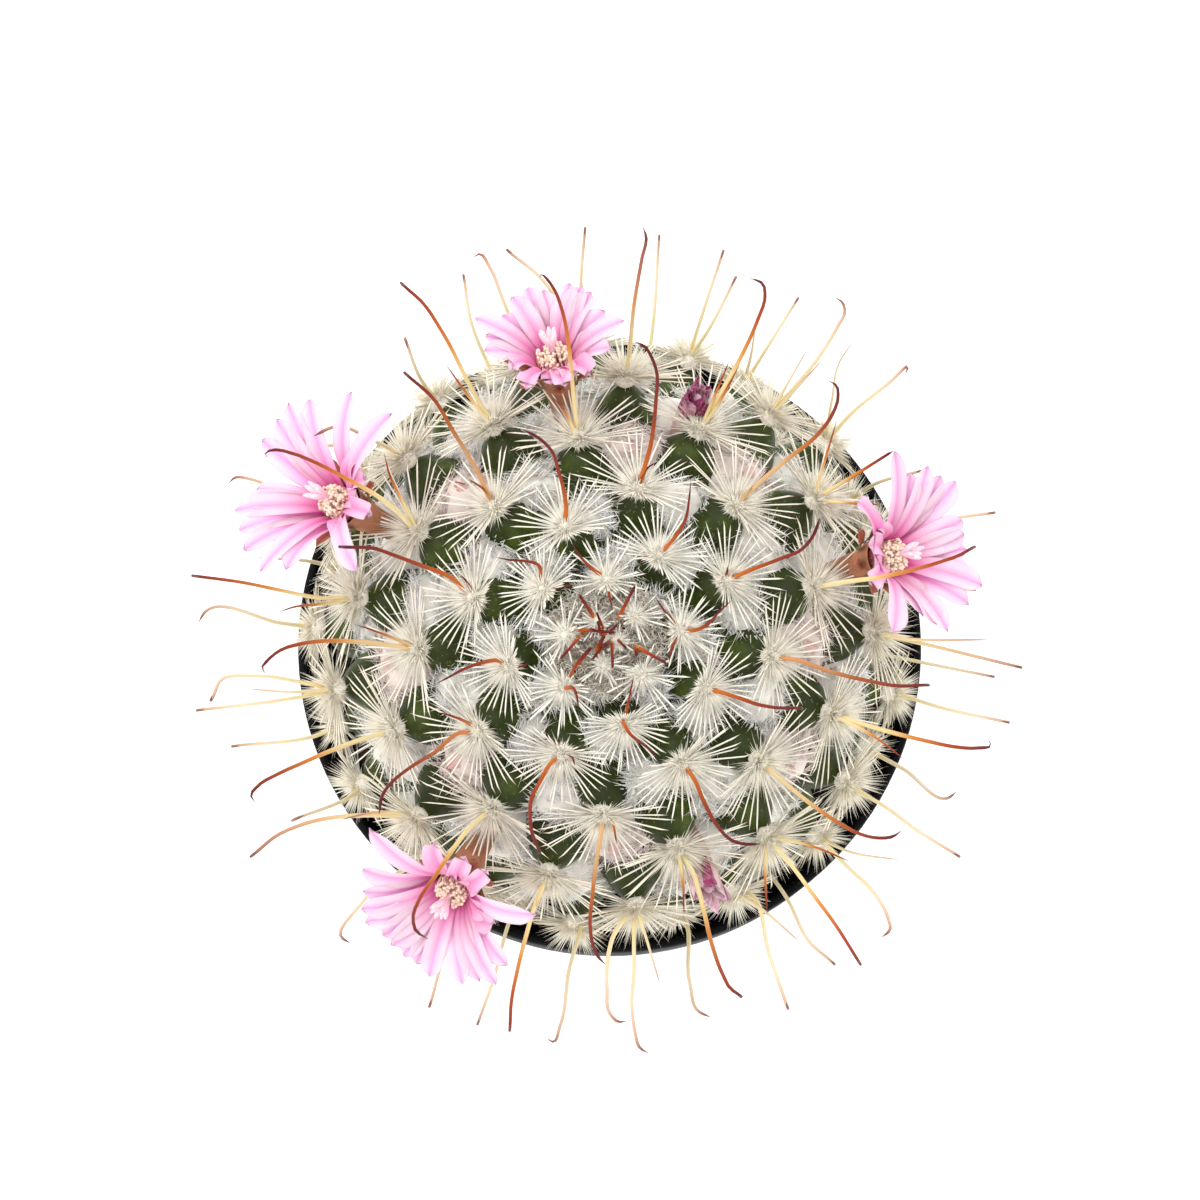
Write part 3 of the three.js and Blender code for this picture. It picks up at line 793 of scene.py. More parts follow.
def make_soil():
    """The potting mix: a settled body with loose crumbs on top, round the root end of the stem."""
    rng = np.random.default_rng(7)
    slope = FLARE / (LIP_FOOT - POT_FLOOR)
    foot = POT_BASE_RADIUS - POT_WALL - RESTING_GAP
    floor = POT_FLOOR + RESTING_GAP

    def inside_at(height):
        return foot + slope * (height - POT_FLOOR)

    profile = [(0, floor), (inside_at(floor), floor)]
    profile += [(inside_at(h), h) for h in np.linspace(8, SOIL_TOP - 1, 8)]
    profile.append((inside_at(SOIL_TOP) - 0.4, SOIL_TOP))
    dish = ROOT_RADIUS + RESTING_GAP
    brim = math.sqrt(dish**2 - (EQUATOR_HEIGHT - SOIL_TOP) ** 2)
    profile += [(r, SOIL_TOP) for r in np.linspace(inside_at(SOIL_TOP) - 1, brim, 14)]
    for radius in np.linspace(brim - 1, 0, 14):
        profile.append((radius, EQUATOR_HEIGHT - math.sqrt(dish**2 - radius**2)))
    body = turned(profile, 160)
    points = body.points
    far = np.hypot(points[:, 0], points[:, 1])
    top = (far < inside_at(points[:, 2]) - 0.9) & (points[:, 2] > floor + 1)
    under_plant = top * np.clip((inside_at(SOIL_TOP) - 1 - far) / 6, 0, 1)
    points[:, :2] += under_plant[:, None] * [PLANT_RIGHT, PLANT_BACK]
    loose = (points[:, 2] > SOIL_TOP - 0.01) & (far > brim + 0.3)
    lumps = 0.35 * waves(points, 3.1, rng) + 0.25 * waves(points, 1.3, rng)
    points[:, 2] += np.where(loose, np.clip(lumps, -0.8, 0.8), 0)

    ball_points, ball_faces = ball(1)
    crumbs = []
    for _ in range(CRUMBS):
        angle = rng.uniform(0, 2 * math.pi)
        near = brim + 0.8 + PLANT_RIGHT * math.cos(angle) + PLANT_BACK * math.sin(angle)
        radius = rng.uniform(near, inside_at(SOIL_TOP) - 1.4)
        size = rng.uniform(0.25, 0.75)
        lump = ball_points * (1 + 0.25 * waves(ball_points, 1.7, rng, 4))[:, None]
        lump = lump * rng.uniform(0.6, 1.2, 3) * size
        centre = [radius * math.cos(angle), radius * math.sin(angle), SOIL_TOP + 0.5 * size]
        crumbs.append(Shape(lump + centre, [ball_faces]))
    add_piece("potting_mix", joined([body, *crumbs]), damp_peat(), ["soil"])


# Stem, radial spines, felt and wool


def make_stem():
    """One skin over the whole dome: the body swells out into a blunt cone under each areole."""
    ways, faces = ball(6)
    polar = np.arccos(np.clip(ways[:, 2], -1, 1))
    body = body_radius(polar)
    swell = np.zeros(len(ways))
    for a in AREOLES:
        far = np.linalg.norm(a.tip)
        off = np.arccos(np.clip(ways @ (a.tip / far), -1, 1)) * far / a.spacing
        height = (far - 0.15 - body) * np.clip(1 - (off / 0.5) ** 1.7, 0, 1)
        swell += np.clip(height, 0, None) ** 5
    rng = np.random.default_rng(3)
    radius = body + swell ** (1 / 5) + 0.07 * waves(ways * STEM_RADIUS, 2.2, rng)
    skin = Shape(leaning(ways * radius[:, None]), [faces])
    add_piece("cactus_stem", skin, waxy_skin(), ["stem"])


def on_areole(a, around, rise):
    """A unit vector at an angle round an areole, counted from the way down the stem."""
    flat = np.cos(around)[:, None] * a.outward + np.sin(around)[:, None] * a.sideways
    return np.cos(rise)[:, None] * flat + np.sin(rise)[:, None] * a.facing


def clear_of_pot(paths):
    """Which paths stay out of the pot's wall and above the soil."""
    points = leaning(paths)
    far = np.hypot(points[..., 0], points[..., 1])
    high = points[..., 2]
    beyond = far > POT_RIM_RADIUS - POT_WALL - WALL_CLEARANCE
    wall = beyond & (high < POT_HEIGHT + RIM_CLEARANCE)
    return ~wall.any(axis=-1) & (high > SOIL_TOP + SOIL_CLEARANCE).all(axis=-1)


def leaning_ways(ways):
    """Directions in plant coordinates, turned with its lean."""
    return unit(leaning(ways) - leaning(np.zeros(3)))


class Strands:
    """Fine needles gathered one batch after another, then made into one piece."""

    def __init__(self):
        self.paths, self.radii, self.across, self.marks = [], [], [], []

    def lay(self, path, radius, across, **marks):
        keep = clear_of_pot(path)
        self.paths.append(path[keep])
        self.radii.append(np.broadcast_to(radius, path.shape[:2])[keep])
        self.across.append(across[keep])
        self.marks.append({k: np.broadcast_to(v, len(keep))[keep] for k, v in marks.items()})

    def shape(self):
        marks = {k: np.concatenate([m[k] for m in self.marks]) for k in self.marks[0]}
        paths, radii = leaning(np.concatenate(self.paths)), np.concatenate(self.radii)
        return strands(paths, radii, leaning_ways(np.concatenate(self.across)), 3, marks)


def ramp(value, start, end):
    """From 0 at the start to 1 at the end, smoothly."""
    share = np.clip((value - start) / (end - start), 0, 1)
    return share * share * (3 - 2 * share)


# The tubercles whose lower radial spines lie over a flower's tube
OVER_TUBES = (28, 29, 30, 31, 32, 33)

# What grows on one areole, at most, and how high its felt pad sits on the tubercle, in mm
STAR_SPINES = (38, 43)
BURST_SPINES = 330
NAP_FIBRES = 230
FLANK_HAIRS = 70
PAD_LIFT = 0.35

# Radii at the root, in mm
STAR_RADIUS = 0.09
BURST_RADIUS = 0.075
NAP_RADIUS = 0.07
HAIR_RADIUS = 0.06
WOOL_RADIUS = 0.07
WISP_RADIUS = 0.055


def pad_radius(a):
    return 0.34 + 0.06 * a.spacing


def pad_middle(a):
    return a.tip + PAD_LIFT * a.facing


def rim_share(a):
    """How near the rim an areole is, where its spines are shorter: from 0 to 1."""
    return ramp(math.degrees(a.polar), 60, 76)


def lay_star(star, a, rng):
    """The flat comb-like star round an areole, short and upright on the youngest ones."""
    rim = rim_share(a)
    newest = 1 - ramp(a.number, 3, 11)
    count = int(rng.integers(*STAR_SPINES) * (1 - 0.4 * newest))
    around = (np.arange(count) + 0.5) * 2 * math.pi / count
    around = around + np.radians(rng.normal(0, 1.5 + 12 * newest, count))
    inward = ramp(np.degrees(np.arccos(np.cos(around))), 95, 165)
    full = min(0.72 * a.spacing, 6.9) * (1 - 0.36 * rim)
    length = full * (1 - 0.58 * inward) * rng.normal(1, 0.06 + 0.2 * newest, count)
    rise = np.radians(8 + 34 * inward - 6 * rim + rng.normal(0, 2.5 + 14 * newest, count))
    if a.number in OVER_TUBES:
        rise += math.radians(20) * ramp(np.cos(around), 0.5, 0.85)
    way = on_areole(a, around, rise)
    root = pad_middle(a) + way * rng.uniform(0.1, 0.4, count)[:, None]
    bend = rng.normal(0.012, 0.02, count) * length
    path = root[:, None] + way[:, None] * (length[:, None] * [0, 0.86, 1.0])[..., None]
    path += a.facing * (bend[:, None] * [0, 1, 0])[..., None]
    width = STAR_RADIUS * rng.normal(1, 0.1, count)[:, None] * [1, 0.9, 0]
    tint = rng.uniform(0, 1, count)
    star.lay(path, width, np.cross(way, a.facing), tint=tint, age=min(a.number / 45, 1.0))


def lay_burst(burst, a, rng):
    """The dense burst of shorter and finer spines inside the star."""
    young = 1 - ramp(a.number, 1, 8)
    crown = 1 - ramp(a.number, 4, 16)
    count = round(BURST_SPINES * (1 - 0.5 * ramp(a.number, 58, 70)) * (1 - 0.7 * young))
    around = rng.normal(0, math.radians(85), count)
    evenly = rng.uniform(-math.pi, math.pi, count)
    around = np.where(rng.uniform(0, 1, count) < 0.45 + 0.55 * crown, evenly, around)
    inward = ramp(np.degrees(np.arccos(np.cos(around))), 70, 150) * (1 - 0.5 * crown)
    way = on_areole(a, around, np.radians(rng.uniform(4, 62, count)))
    longest = (0.41 * a.spacing + 0.3) * (1 - 0.4 * inward) * (1 - 0.2 * rim_share(a))
    length = longest * rng.uniform(0.36, 1.08, count)
    wide = pad_radius(a)
    root = pad_middle(a) + 0.75 * wide * way
    path = np.stack([root, root + way * (length - 0.5 * wide)[:, None]], 1)
    tint = rng.uniform(0.7 * (1 - young), 1, count)
    age = 0.6 * min(a.number / 45, 1.0)
    burst.lay(path, [BURST_RADIUS, 0], np.cross(way, a.facing), tint=tint, age=age)


def make_bristles():
    """The radial spines round every areole."""
    rng = np.random.default_rng(11)
    star, burst = Strands(), Strands()
    for a in AREOLES:
        lay_star(star, a, rng)
        lay_burst(burst, a, rng)
    horn = ivory_bristle()
    add_piece("radial_spines", star.shape(), horn)
    add_piece("inner_radial_spines", burst.shape(), horn)


def make_felt():
    """A cushion of felt under each set of spines, with its nap of short fibres."""
    rng = np.random.default_rng(13)
    ball_points, ball_faces = ball(2)
    pads, nap = [], Strands()
    for a in AREOLES:
        wide = pad_radius(a)
        pad = ball_points * (1 + 0.12 * waves(ball_points, 1.0, rng, 5))[:, None]
        pad = pad * [1.1 * wide, 1.1 * wide, 1.05 * wide]
        pad = pad[:, :1] * a.outward + pad[:, 1:2] * a.sideways + pad[:, 2:] * a.facing
        middle = pad_middle(a)
        pads.append(Shape(leaning(middle + pad), [ball_faces]))

        sparse = 1 - 0.5 * ramp(a.number, 58, 70)
        count = round(NAP_FIBRES * sparse)
        low = ramp(math.degrees(a.polar), 55, 75)
        around = math.pi + rng.normal(0, math.radians(75 + 60 * low), count)
        rise = np.radians(rng.uniform(-5 - 25 * low, 80, count))
        way = on_areole(a, around, rise)
        root = middle + 0.85 * wide * way
        length = rng.uniform(0.4, 1.0, count)[:, None] * (0.38 + 0.09 * a.spacing)
        way = unit(way + rng.normal(0, 0.3, (count, 3)))
        path = np.stack([root, root + length * way], 1)
        nap.lay(path, [NAP_RADIUS, 0], np.cross(way, a.facing))

        # Longer hairs lie out over the flank of the tubercle, under the radial spines
        count = round(FLANK_HAIRS * sparse)
        around = np.radians(rng.uniform(-125, 125, count))
        way = on_areole(a, around, np.radians(rng.uniform(-24, 6, count)))
        root = middle + rng.uniform(0.3, 1.3, count)[:, None] * wide * way
        length = rng.uniform(0.15, 0.38, count)[:, None] * a.spacing
        way = unit(way + rng.normal(0, 0.16, (count, 3)))
        path = np.stack([root, root + length * way], 1)
        nap.lay(path, [HAIR_RADIUS, 0], np.cross(way, a.facing))
    felt = areole_felt()
    add_piece("areole_felt_pads", joined(pads), felt)
    add_piece("areole_felt_nap", nap.shape(), felt)


# Wool wells up in the axils, halfway between a tubercle and the fifth one before it
WOOL_TURN = math.radians(18.5)
WOOL_LIFT = math.radians(2.5)
WOOL_NEIGHBOUR = 5
RIM_WOOL_TURN = math.radians(9.5)
RIM_WOOL_DROP = math.radians(5.7)

# How far the wool's top lies below the tubercles' tips, how many loose wisps a puff has, and how
# many fibres the new wool at the crown has
WOOL_BELOW_TIPS = 0.9
WISPS = 110
NEW_FIBRES = 2200

Puff = namedtuple("Puff", "polar angle line long wide tall blush group")


def blush_at(polar, angle):
    """How much the pink of a bud underneath shows through the wool."""
    spot = direction(polar, angle) * STEM_RADIUS
    nearest = min(np.linalg.norm(spot - bud_place(number)[1]) for number in BUD_NUMBERS)
    return 0.45 * np.clip(1.3 - nearest / 4.0, 0, 1)


def wool_puffs():
    """Where the wool is: each puff's place, the way it is drawn out, and its half sizes."""
    puffs = []
    for a in AREOLES:
        polar = a.polar - WOOL_LIFT
        angle = a.angle + WOOL_TURN + math.radians(5.5) * (1 - ramp(a.polar, 0.26, 0.40))
        rim = ramp(math.degrees(a.polar), 58, 68)
        line = a.sideways
        if a.number >= WOOL_NEIGHBOUR:
            line = unit(areole(a.number - WOOL_NEIGHBOUR).tip - a.tip)
        if polar > 0.03:
            deep = ramp(math.degrees(a.polar), 66, 84)
            top = STEM_RADIUS - WOOL_BELOW_TIPS + 0.4 * rim - 2.4 * deep
            long, wide = a.spacing * (0.54 - 0.18 * deep), a.spacing * (0.41 - 0.13 * deep)
            tall = top - body_radius(polar)
            group = "crown" if a.number < 32 else "flank"
            puffs.append(Puff(polar, angle, line, long, wide, tall, blush_at(polar, angle), group))
        if rim > 0.5:
            polar, angle = a.polar + RIM_WOOL_DROP, a.angle + RIM_WOOL_TURN
            low = ramp(math.degrees(polar), 84, 94)
            top = STEM_RADIUS - WOOL_BELOW_TIPS - 2.6 * low
            tall = top - body_radius(min(polar, math.pi / 2))
            size = (0.37 - 0.1 * low) * a.spacing
            puffs.append(Puff(polar, angle, a.sideways, 1.1 * size, 0.9 * size, tall, 0.0, "rim"))
    return puffs


def wool_core(puff, middle, reach, axes, rng):
    """A soft lumpy core, held off the pot's wall."""
    ball_points, ball_faces = ball(3)
    skin = ball_points * (1 + 0.12 * waves(ball_points, 0.9, rng, 7))[:, None]
    points = middle + (skin * (reach - 1.1)) @ axes
    high = leaning(points)
    far = np.hypot(high[:, 0], high[:, 1])
    wall = POT_RIM_RADIUS - POT_WALL - WOOL_CLEARANCE
    over = far > wall
    points[over, :2] *= (wall / far[over])[:, None]
    # The core's tint sits below the locks': painted shade for the wool deep in the puff, mottled
    # at random
    shade = np.clip(0.5 + 0.2 * waves(ball_points, 0.7, rng, 5), 0, 1)
    return Shape(leaning(points), [ball_faces]).marked(blush=puff.blush, tint=shade)


def lay_locks(fibres, puff, middle, reach, axes, rng):
    """Locks of fibre that run over a core and fray at their ends."""
    line, _, facing = axes
    locks, each = (96, 9) if puff.long > 2.0 else (40, 8)
    locks = round(locks * (1 - 0.45 * ramp(math.degrees(puff.polar), 76, 96)))
    coarse = 1 + 0.35 * ramp(math.degrees(puff.polar), 45, 70)
    spot = unit(rng.normal(size=(locks, 3)) * [1, 1, 0.9] + [0, 0, 0.5])
    root = middle + (spot * (reach - rng.uniform(0.5, 1.0, (locks, 1)))) @ axes
    out = unit(spot @ axes + 0.4 * facing)
    drawn = rng.choice([-1, 1], (locks, 1)) * line
    run = unit(np.cross(out, unit(np.cross(drawn, out) + rng.normal(0, 0.6, (locks, 3)))))
    tint = rng.uniform(0.45, 1.0, locks)

    # From here on by fibre, each a little off its lock
    index = np.repeat(np.arange(locks), each)
    count = len(index)
    root = root[index] + rng.normal(0, 0.18, (count, 3))
    out, run = out[index], run[index] + rng.normal(0, 0.2, (count, 3))
    lift = rng.uniform(0.0, 0.5, count)[:, None] * rng.uniform(0.3, 1, count)[:, None]
    run = unit(run + lift * out + 0.3 * unit(spot[index] * [1, 1, 0.2]) @ axes)
    length = rng.uniform(0.8, 2.2, count)[:, None] * min(0.35 + puff.long / 4.6, 1.15)
    path = np.stack([root - 0.25 * length * run, root + 0.75 * length * run], 1)
    tint = np.clip(tint[index] + rng.normal(0, 0.1, count), 0, 1)
    radius = [WOOL_RADIUS * coarse, 0]
    fibres.lay(path, radius, np.cross(run, out), blush=puff.blush, tint=tint)


def lay_wisps(fibres, puff, middle, reach, axes, rng):
    """Loose wisps, spun out from the puff over the skin round it."""
    facing = axes[2]
    around = rng.uniform(0, 2 * math.pi, WISPS)
    run = np.cos(around)[:, None] * axes[0] + np.sin(around)[:, None] * axes[1]
    edge = np.stack([np.cos(around), np.sin(around)], -1) * reach[:2]
    high = rng.uniform(0.35, 0.85, WISPS) * puff.tall
    root = middle + np.column_stack([0.6 * edge, high]) @ axes
    length = rng.uniform(0.9, 2.4, WISPS)[:, None]
    run = unit(run + rng.normal(0, 0.35, (WISPS, 3)) - 0.1 * facing)
    path = np.stack([root, root + length * run], 1)
    tint = rng.uniform(0.6, 1.0, WISPS)
    fibres.lay(path, [WISP_RADIUS, 0], np.cross(run, facing), blush=puff.blush, tint=tint)


def lay_newest(fibres, rng):
    """The tangle of new wool at the very crown, curled over the youngest tubercles."""
    polar = 0.19 * np.sqrt(rng.uniform(0.01, 1, NEW_FIBRES))
    facing = direction(polar, rng.uniform(0, 2 * math.pi, NEW_FIBRES))
    root = facing * (STEM_RADIUS - 0.6 + rng.uniform(0, 1.1, NEW_FIBRES))[:, None]
    run = unit(np.cross(facing, rng.normal(size=(NEW_FIBRES, 3))))
    over = unit(np.cross(facing, run) + rng.uniform(-0.3, 0.9, (NEW_FIBRES, 1)) * facing)
    curl = rng.uniform(0.25, 0.6, NEW_FIBRES)[:, None]
    turns = np.radians([0, 60, 120, 175])
    curls = [math.sin(t) * run + (1 - math.cos(t)) * over for t in turns]
    path = np.stack([root + curl * bent for bent in curls], 1)
    # Low tints, beige brown on the wool's ramp: painted shade for the tangle, which lies in shade
    # among the crown's young spines
    tint = rng.uniform(0.0, 0.4, NEW_FIBRES)
    fibres.lay(path, [0.045, 0.045, 0.04, 0], facing, blush=0.0, tint=tint)


def make_wool():
    """Wool in the axils: a soft core each, buried in locks of fine fibre and loose wisps."""
    rng = np.random.default_rng(17)
    cores, fibres = [], {group: Strands() for group in ("crown", "flank", "rim", "newest")}
    for puff in wool_puffs():
        facing = direction(puff.polar, puff.angle)
        middle = facing * body_radius(puff.polar)
        if leaning(middle + 3 * facing)[2] < SOIL_TOP + 3:
            continue
        line = unit(puff.line - facing * (puff.line @ facing))
        axes = np.stack([line, np.cross(facing, line), facing])
        reach = np.array([puff.long, puff.wide, puff.tall]) * rng.uniform(0.92, 1.08, 3)
        cores.append(wool_core(puff, middle, reach, axes, rng))
        lay_locks(fibres[puff.group], puff, middle, reach, axes, rng)
        lay_wisps(fibres[puff.group], puff, middle, reach, axes, rng)
    lay_newest(fibres["newest"], rng)
    wool = matted_wool()
    add_piece("axil_wool", joined(cores), wool)
    for group, tuft in fibres.items():
        add_piece(f"wool_fibres_{group}", tuft.shape(), wool)


# Central spines

# The longest central spine of each tubercle: the tubercle's number, the spine's length in mm, and
# where it is seen from above on its way from foot to tip, in pixels of the 1200 wide frame
LONG_SPINES = [
    (7, 5.5, [(594, 570), (579, 555), (571, 543)]),
    (8, 5.5, [(574, 689), (579, 708)]),
    (9, 7.5, [(696, 630), (708, 624), (720, 611), (732, 600)]),
    (10, 7, [(537, 564), (525, 561), (510, 560), (495, 557)]),
    (11, 6.5, [(623, 722), (630, 734), (645, 746), (657, 757)]),
    (12, 10, [(678, 533), (686, 518), (689, 500), (691, 480)]),
    (13, 9.5, [(499, 661), (481, 663), (464, 669), (449, 677), (434, 685)]),
    (14, 11, [(720, 692), (739, 698), (760, 705), (782, 708), (799, 708)]),
    (15, 12, [(566, 505), (559, 473), (551, 450), (540, 439), (524, 430)]),
    (16, 12.5, [(553, 761), (540, 782), (531, 800), (530, 818), (533, 836), (539, 850)]),
    (17, 13, [(751, 570), (782, 558), (801, 550), (813, 536), (820, 518)]),
    (18, 14.5, [(450, 577), (420, 565), (396, 556), (372, 548), (343, 547)]),
    (19, 14, [(693, 777), (705, 804), (719, 828), (731, 840), (743, 844), (760, 844)]),
    (20, 17, [(652, 438), (656, 399), (657, 374), (652, 358), (644, 346), (635, 342)]),
    (21, 15, [(459, 733), (435, 752), (408, 769), (393, 781), (382, 796), (379, 814)]),
    (22, 17, [(797, 660), (832, 672), (869, 681), (900, 686), (925, 685)]),
    (23, 17, [(476, 469), (453, 431), (431, 396), (407, 375)]),
    (24, 19, [(601, 834), (596, 864), (592, 900), (590, 924), (593, 945), (599, 958), (605, 964)]),
    (25, 18, [(760, 482), (789, 458), (818, 434), (832, 415), (838, 398), (836, 385), (829, 381)]),
    (26, 19, [(360, 642), (324, 641), (300, 644), (279, 651), (267, 661), (262, 668), (265, 673)]),
    (27, 18, [(785, 783), (815, 807), (839, 823), (860, 834), (878, 838), (894, 836), (901, 831)]),
    (28, 18, [(572, 380), (569, 348), (562, 310), (554, 289), (546, 278), (541, 274), (540, 277)]),
    (29, 25, [(472, 825), (451, 852), (433, 879), (419, 900), (413, 918), (416, 931), (428, 939)]),
    (30, 23, [(844, 582), (881, 577), (912, 570), (943, 561), (962, 554), (972, 548)]),
    (31, 24, [(390, 505), (336, 473), (312, 461), (291, 453), (273, 450), (265, 453), (267, 457)]),
    (32, 18, [(692, 870), (704, 912), (713, 948), (723, 975), (732, 990), (738, 994)]),
    (33, 18, [(710, 412), (728, 380), (744, 351), (758, 319), (765, 297), (763, 284), (750, 278)]),
    (34, 18, [(360, 740), (330, 751), (300, 764), (276, 775), (259, 785), (251, 796), (255, 802)]),
    (35, 19, [(859, 723), (894, 733), (931, 742), (956, 747), (977, 748), (991, 745), (989, 741)]),
    (36, 20, [(468, 382), (441, 330), (421, 301), (403, 285)]),
    (37, 18, [(538, 897), (526, 936), (517, 972), (511, 1005), (510, 1027)]),
    (38, 12, [(850, 478), (893, 451)]),
    (39, 19, [(321, 598), (279, 590), (240, 582), (195, 576)]),
    (40, 18, [(788, 861), (815, 897), (839, 930), (859, 962)]),
    (41, 19, [(630, 348), (634, 305), (642, 258), (646, 236), (643, 227)]),
    (42, 17, [(372, 815), (298, 826), (276, 836), (254, 854)]),
    (43, 16, [(894, 637), (937, 647), (1019, 667)]),
    (44, 15, [(372, 440), (330, 428), (314, 436)]),
    (45, 17, [(634, 936), (634, 972), (632, 1008), (635, 1032), (640, 1048), (648, 1053)]),
    (46, 16, [(792, 390), (821, 354), (838, 326), (845, 311), (842, 302), (836, 298)]),
    (47, 16, [(300, 697), (252, 704), (199, 710)]),
    (48, 15, [(851, 786), (890, 810), (918, 831), (957, 855)]),
    (49, 15, [(501, 295), (490, 268), (479, 254), (474, 257)]),
    (50, 15, [(466, 920), (446, 951), (430, 1005)]),
    (51, 15, [(915, 525), (962, 517), (992, 513)]),
    (52, 15, [(300, 502), (267, 485), (250, 479), (234, 478), (229, 483)]),
    (53, 14, [(749, 894), (770, 957), (787, 1006)]),
    (54, 14, [(706, 303), (723, 252)]),
    (55, 14, [(360, 787), (291, 821)]),
    (56, 14, [(897, 694), (950, 710), (1007, 722)]),
    (57, 12, [(415, 367), (405, 338)]),
    (58, 14, [(577, 921), (568, 975), (560, 1026), (553, 1042), (548, 1039)]),
    (59, 14, [(856, 409), (890, 382), (908, 367), (906, 373)]),
    (60, 14, [(280, 623), (202, 616), (199, 622)]),
    (61, 13, [(851, 870), (875, 894), (888, 918), (890, 930), (882, 937)]),
    (62, 14, [(581, 278), (585, 230)]),
    (63, 13, [(400, 872), (360, 905), (342, 938), (350, 943)]),
    (64, 13, [(930, 585), (975, 590)]),
    (65, 13, [(335, 445), (300, 450)]),
    (66, 13, [(683, 918), (690, 984), (698, 1011), (710, 1017)]),
    (67, 12, [(773, 338), (797, 300)]),
    (68, 12, [(315, 736), (234, 746)]),
    (69, 12, [(905, 770), (950, 797), (956, 792)]),
    (70, 12, [(469, 313), (464, 278)]),
    (71, 13, [(505, 935), (493, 981), (479, 1020)]),
    (72, 13, [(885, 480), (925, 470)]),
    (73, 12, [(300, 560), (262, 558)]),
    (74, 13, [(788, 900), (812, 945), (831, 961)]),
    (75, 14, [(654, 316), (659, 239)]),
    (77, 13, [(920, 662), (990, 676)]),
]
FRAME_SPINES = (15, 17, *range(20, 42), 45, 46, 47)

# These turn their hook up towards the light, so from above it is seen end on
UPTURNED = (
    14, 16, 18, 22, 23, 30, 32, 36, 37, 39, 40, 42, 43, 47, 48, 50, 51, 53, 54, 55, 56, 57, 62, 64,
    65, 67, 68, 70, 71, 72, 73, 74, 75, 77,
)
HOOK_RADIUS = 0.85
SPINE_RINGS = 26
SPINE_GATHER = 1.35

# Their shorter neighbours, which have no hook: the tubercle's number and the path, as above
SHORT_SPINES = [
    (7, [(611, 603), (613, 611)]),
    (8, [(582, 657), (591, 647)]),
    (9, [(661, 606), (655, 597)]),
    (9, [(671, 650), (669, 663)]),
    (10, [(565, 586), (576, 585)]),
    (11, [(631, 689), (634, 675)]),
    (12, [(642, 560), (641, 566)]),
    (13, [(523, 666), (529, 663)]),
    (16, [(552, 740), (542, 739)]),
    (16, [(572, 757), (575, 766)]),
    (17, [(727, 572), (728, 566)]),
    (18, [(466, 581), (460, 574)]),
    (20, [(650, 466), (658, 462)]),
    (21, [(460, 719), (438, 712)]),
    (23, [(482, 488), (468, 479)]),
    (24, [(610, 819), (617, 844)]),
    (25, [(757, 483), (766, 473), (771, 465)]),
    (26, [(375, 631), (354, 624)]),
    (28, [(562, 408), (553, 397)]),
    (31, [(402, 500), (390, 476), (384, 453)]),
    (32, [(683, 882), (684, 915)]),
    (33, [(718, 388), (730, 359)]),
    (33, [(722, 398), (741, 361)]),
    (35, [(875, 737), (905, 760)]),
    (36, [(464, 390), (445, 363)]),
    (37, [(534, 910), (521, 946)]),
    (38, [(850, 503), (884, 505)]),
    (38, [(825, 460), (837, 420)]),
    (39, [(321, 604), (294, 607), (276, 613)]),
    (40, [(765, 864), (767, 916)]),
    (40, [(812, 846), (851, 862)]),
    (42, [(378, 812), (339, 820)]),
    (45, [(640, 918), (660, 984)]),
    (46, [(788, 383), (808, 348)]),
    (46, [(797, 388), (824, 358)]),
    (47, [(294, 692), (248, 689)]),
    (43, [(894, 637), (993, 640)]),
    (49, [(519, 330), (515, 300)]),
    (53, [(756, 905), (800, 942)]),
    (59, [(832, 400), (840, 361), (856, 338)]),
    (61, [(850, 852), (900, 860)]),
    (67, [(752, 350), (756, 318)]),
]

# Pale hooked ones that come out from below the others at the rim
LOW_SPINES = [
    (45, 15, [(616, 930), (607, 990), (610, 1014), (619, 1022), (626, 1021)]),
    (47, 13, [(300, 682), (255, 676), (219, 682), (213, 697)]),
    (54, 14, [(713, 322), (736, 277)]),
    (62, 14, [(561, 305), (537, 274), (509, 252)]),
]

# The youngest ones, at the crown: from foot to tip in mm right and back of the plant's axis,
# how high each stands, and how thick it is
CROWN_SPINES = [
    ((-1.1, 1.7), (-2.6, 4.0), 2.6, 0.17),
    ((-0.4, 0.8), (-1.0, 2.4), 2.8, 0.13),
    ((0.95, 1.8), (2.5, 4.8), 2.8, 0.16),
    ((-3.4, 0.85), (0.7, 0.55), 2.2, 0.14),
    ((-2.2, 0.6), (-4.3, -1.9), 2.2, 0.14),
    ((-2.9, -2.5), (-1.5, -0.8), 2.4, 0.2),
    ((-1.0, -1.1), (-0.3, 0.3), 2.6, 0.2),
    ((0.4, 0.0), (0.45, -2.7), 2.6, 0.14),
    ((0.8, 0.0), (1.7, -0.9), 2.4, 0.13),
    ((2.5, -0.7), (5.4, -2.3), 2.4, 0.16),
    ((2.6, -0.9), (2.6, -1.6), 2.0, 0.15),
    ((-0.6, 0.2), (-0.9, 1.6), 3.0, 0.13),
    ((0.1, 0.5), (0.9, 1.3), 2.8, 0.13),
    ((-0.2, -0.4), (-1.4, -1.9), 2.4, 0.14),
    ((0.0, 0.3), (-1.6, 0.9), 2.8, 0.12),
    ((0.3, -0.3), (-0.4, -0.7), 2.6, 0.2),
]


def seen_at(pixel, height):
    """The point in plant coordinates, at this height, that the camera sees at a pixel."""
    scale = FOCAL_PIXELS / (CAMERA_DISTANCE - height)
    right = VIEW_CENTRE[0] + (pixel[0] - FRAME_PIXELS / 2) / scale
    back = VIEW_CENTRE[1] + (FRAME_PIXELS / 2 - pixel[1]) / scale
    return np.array([right, back, height])


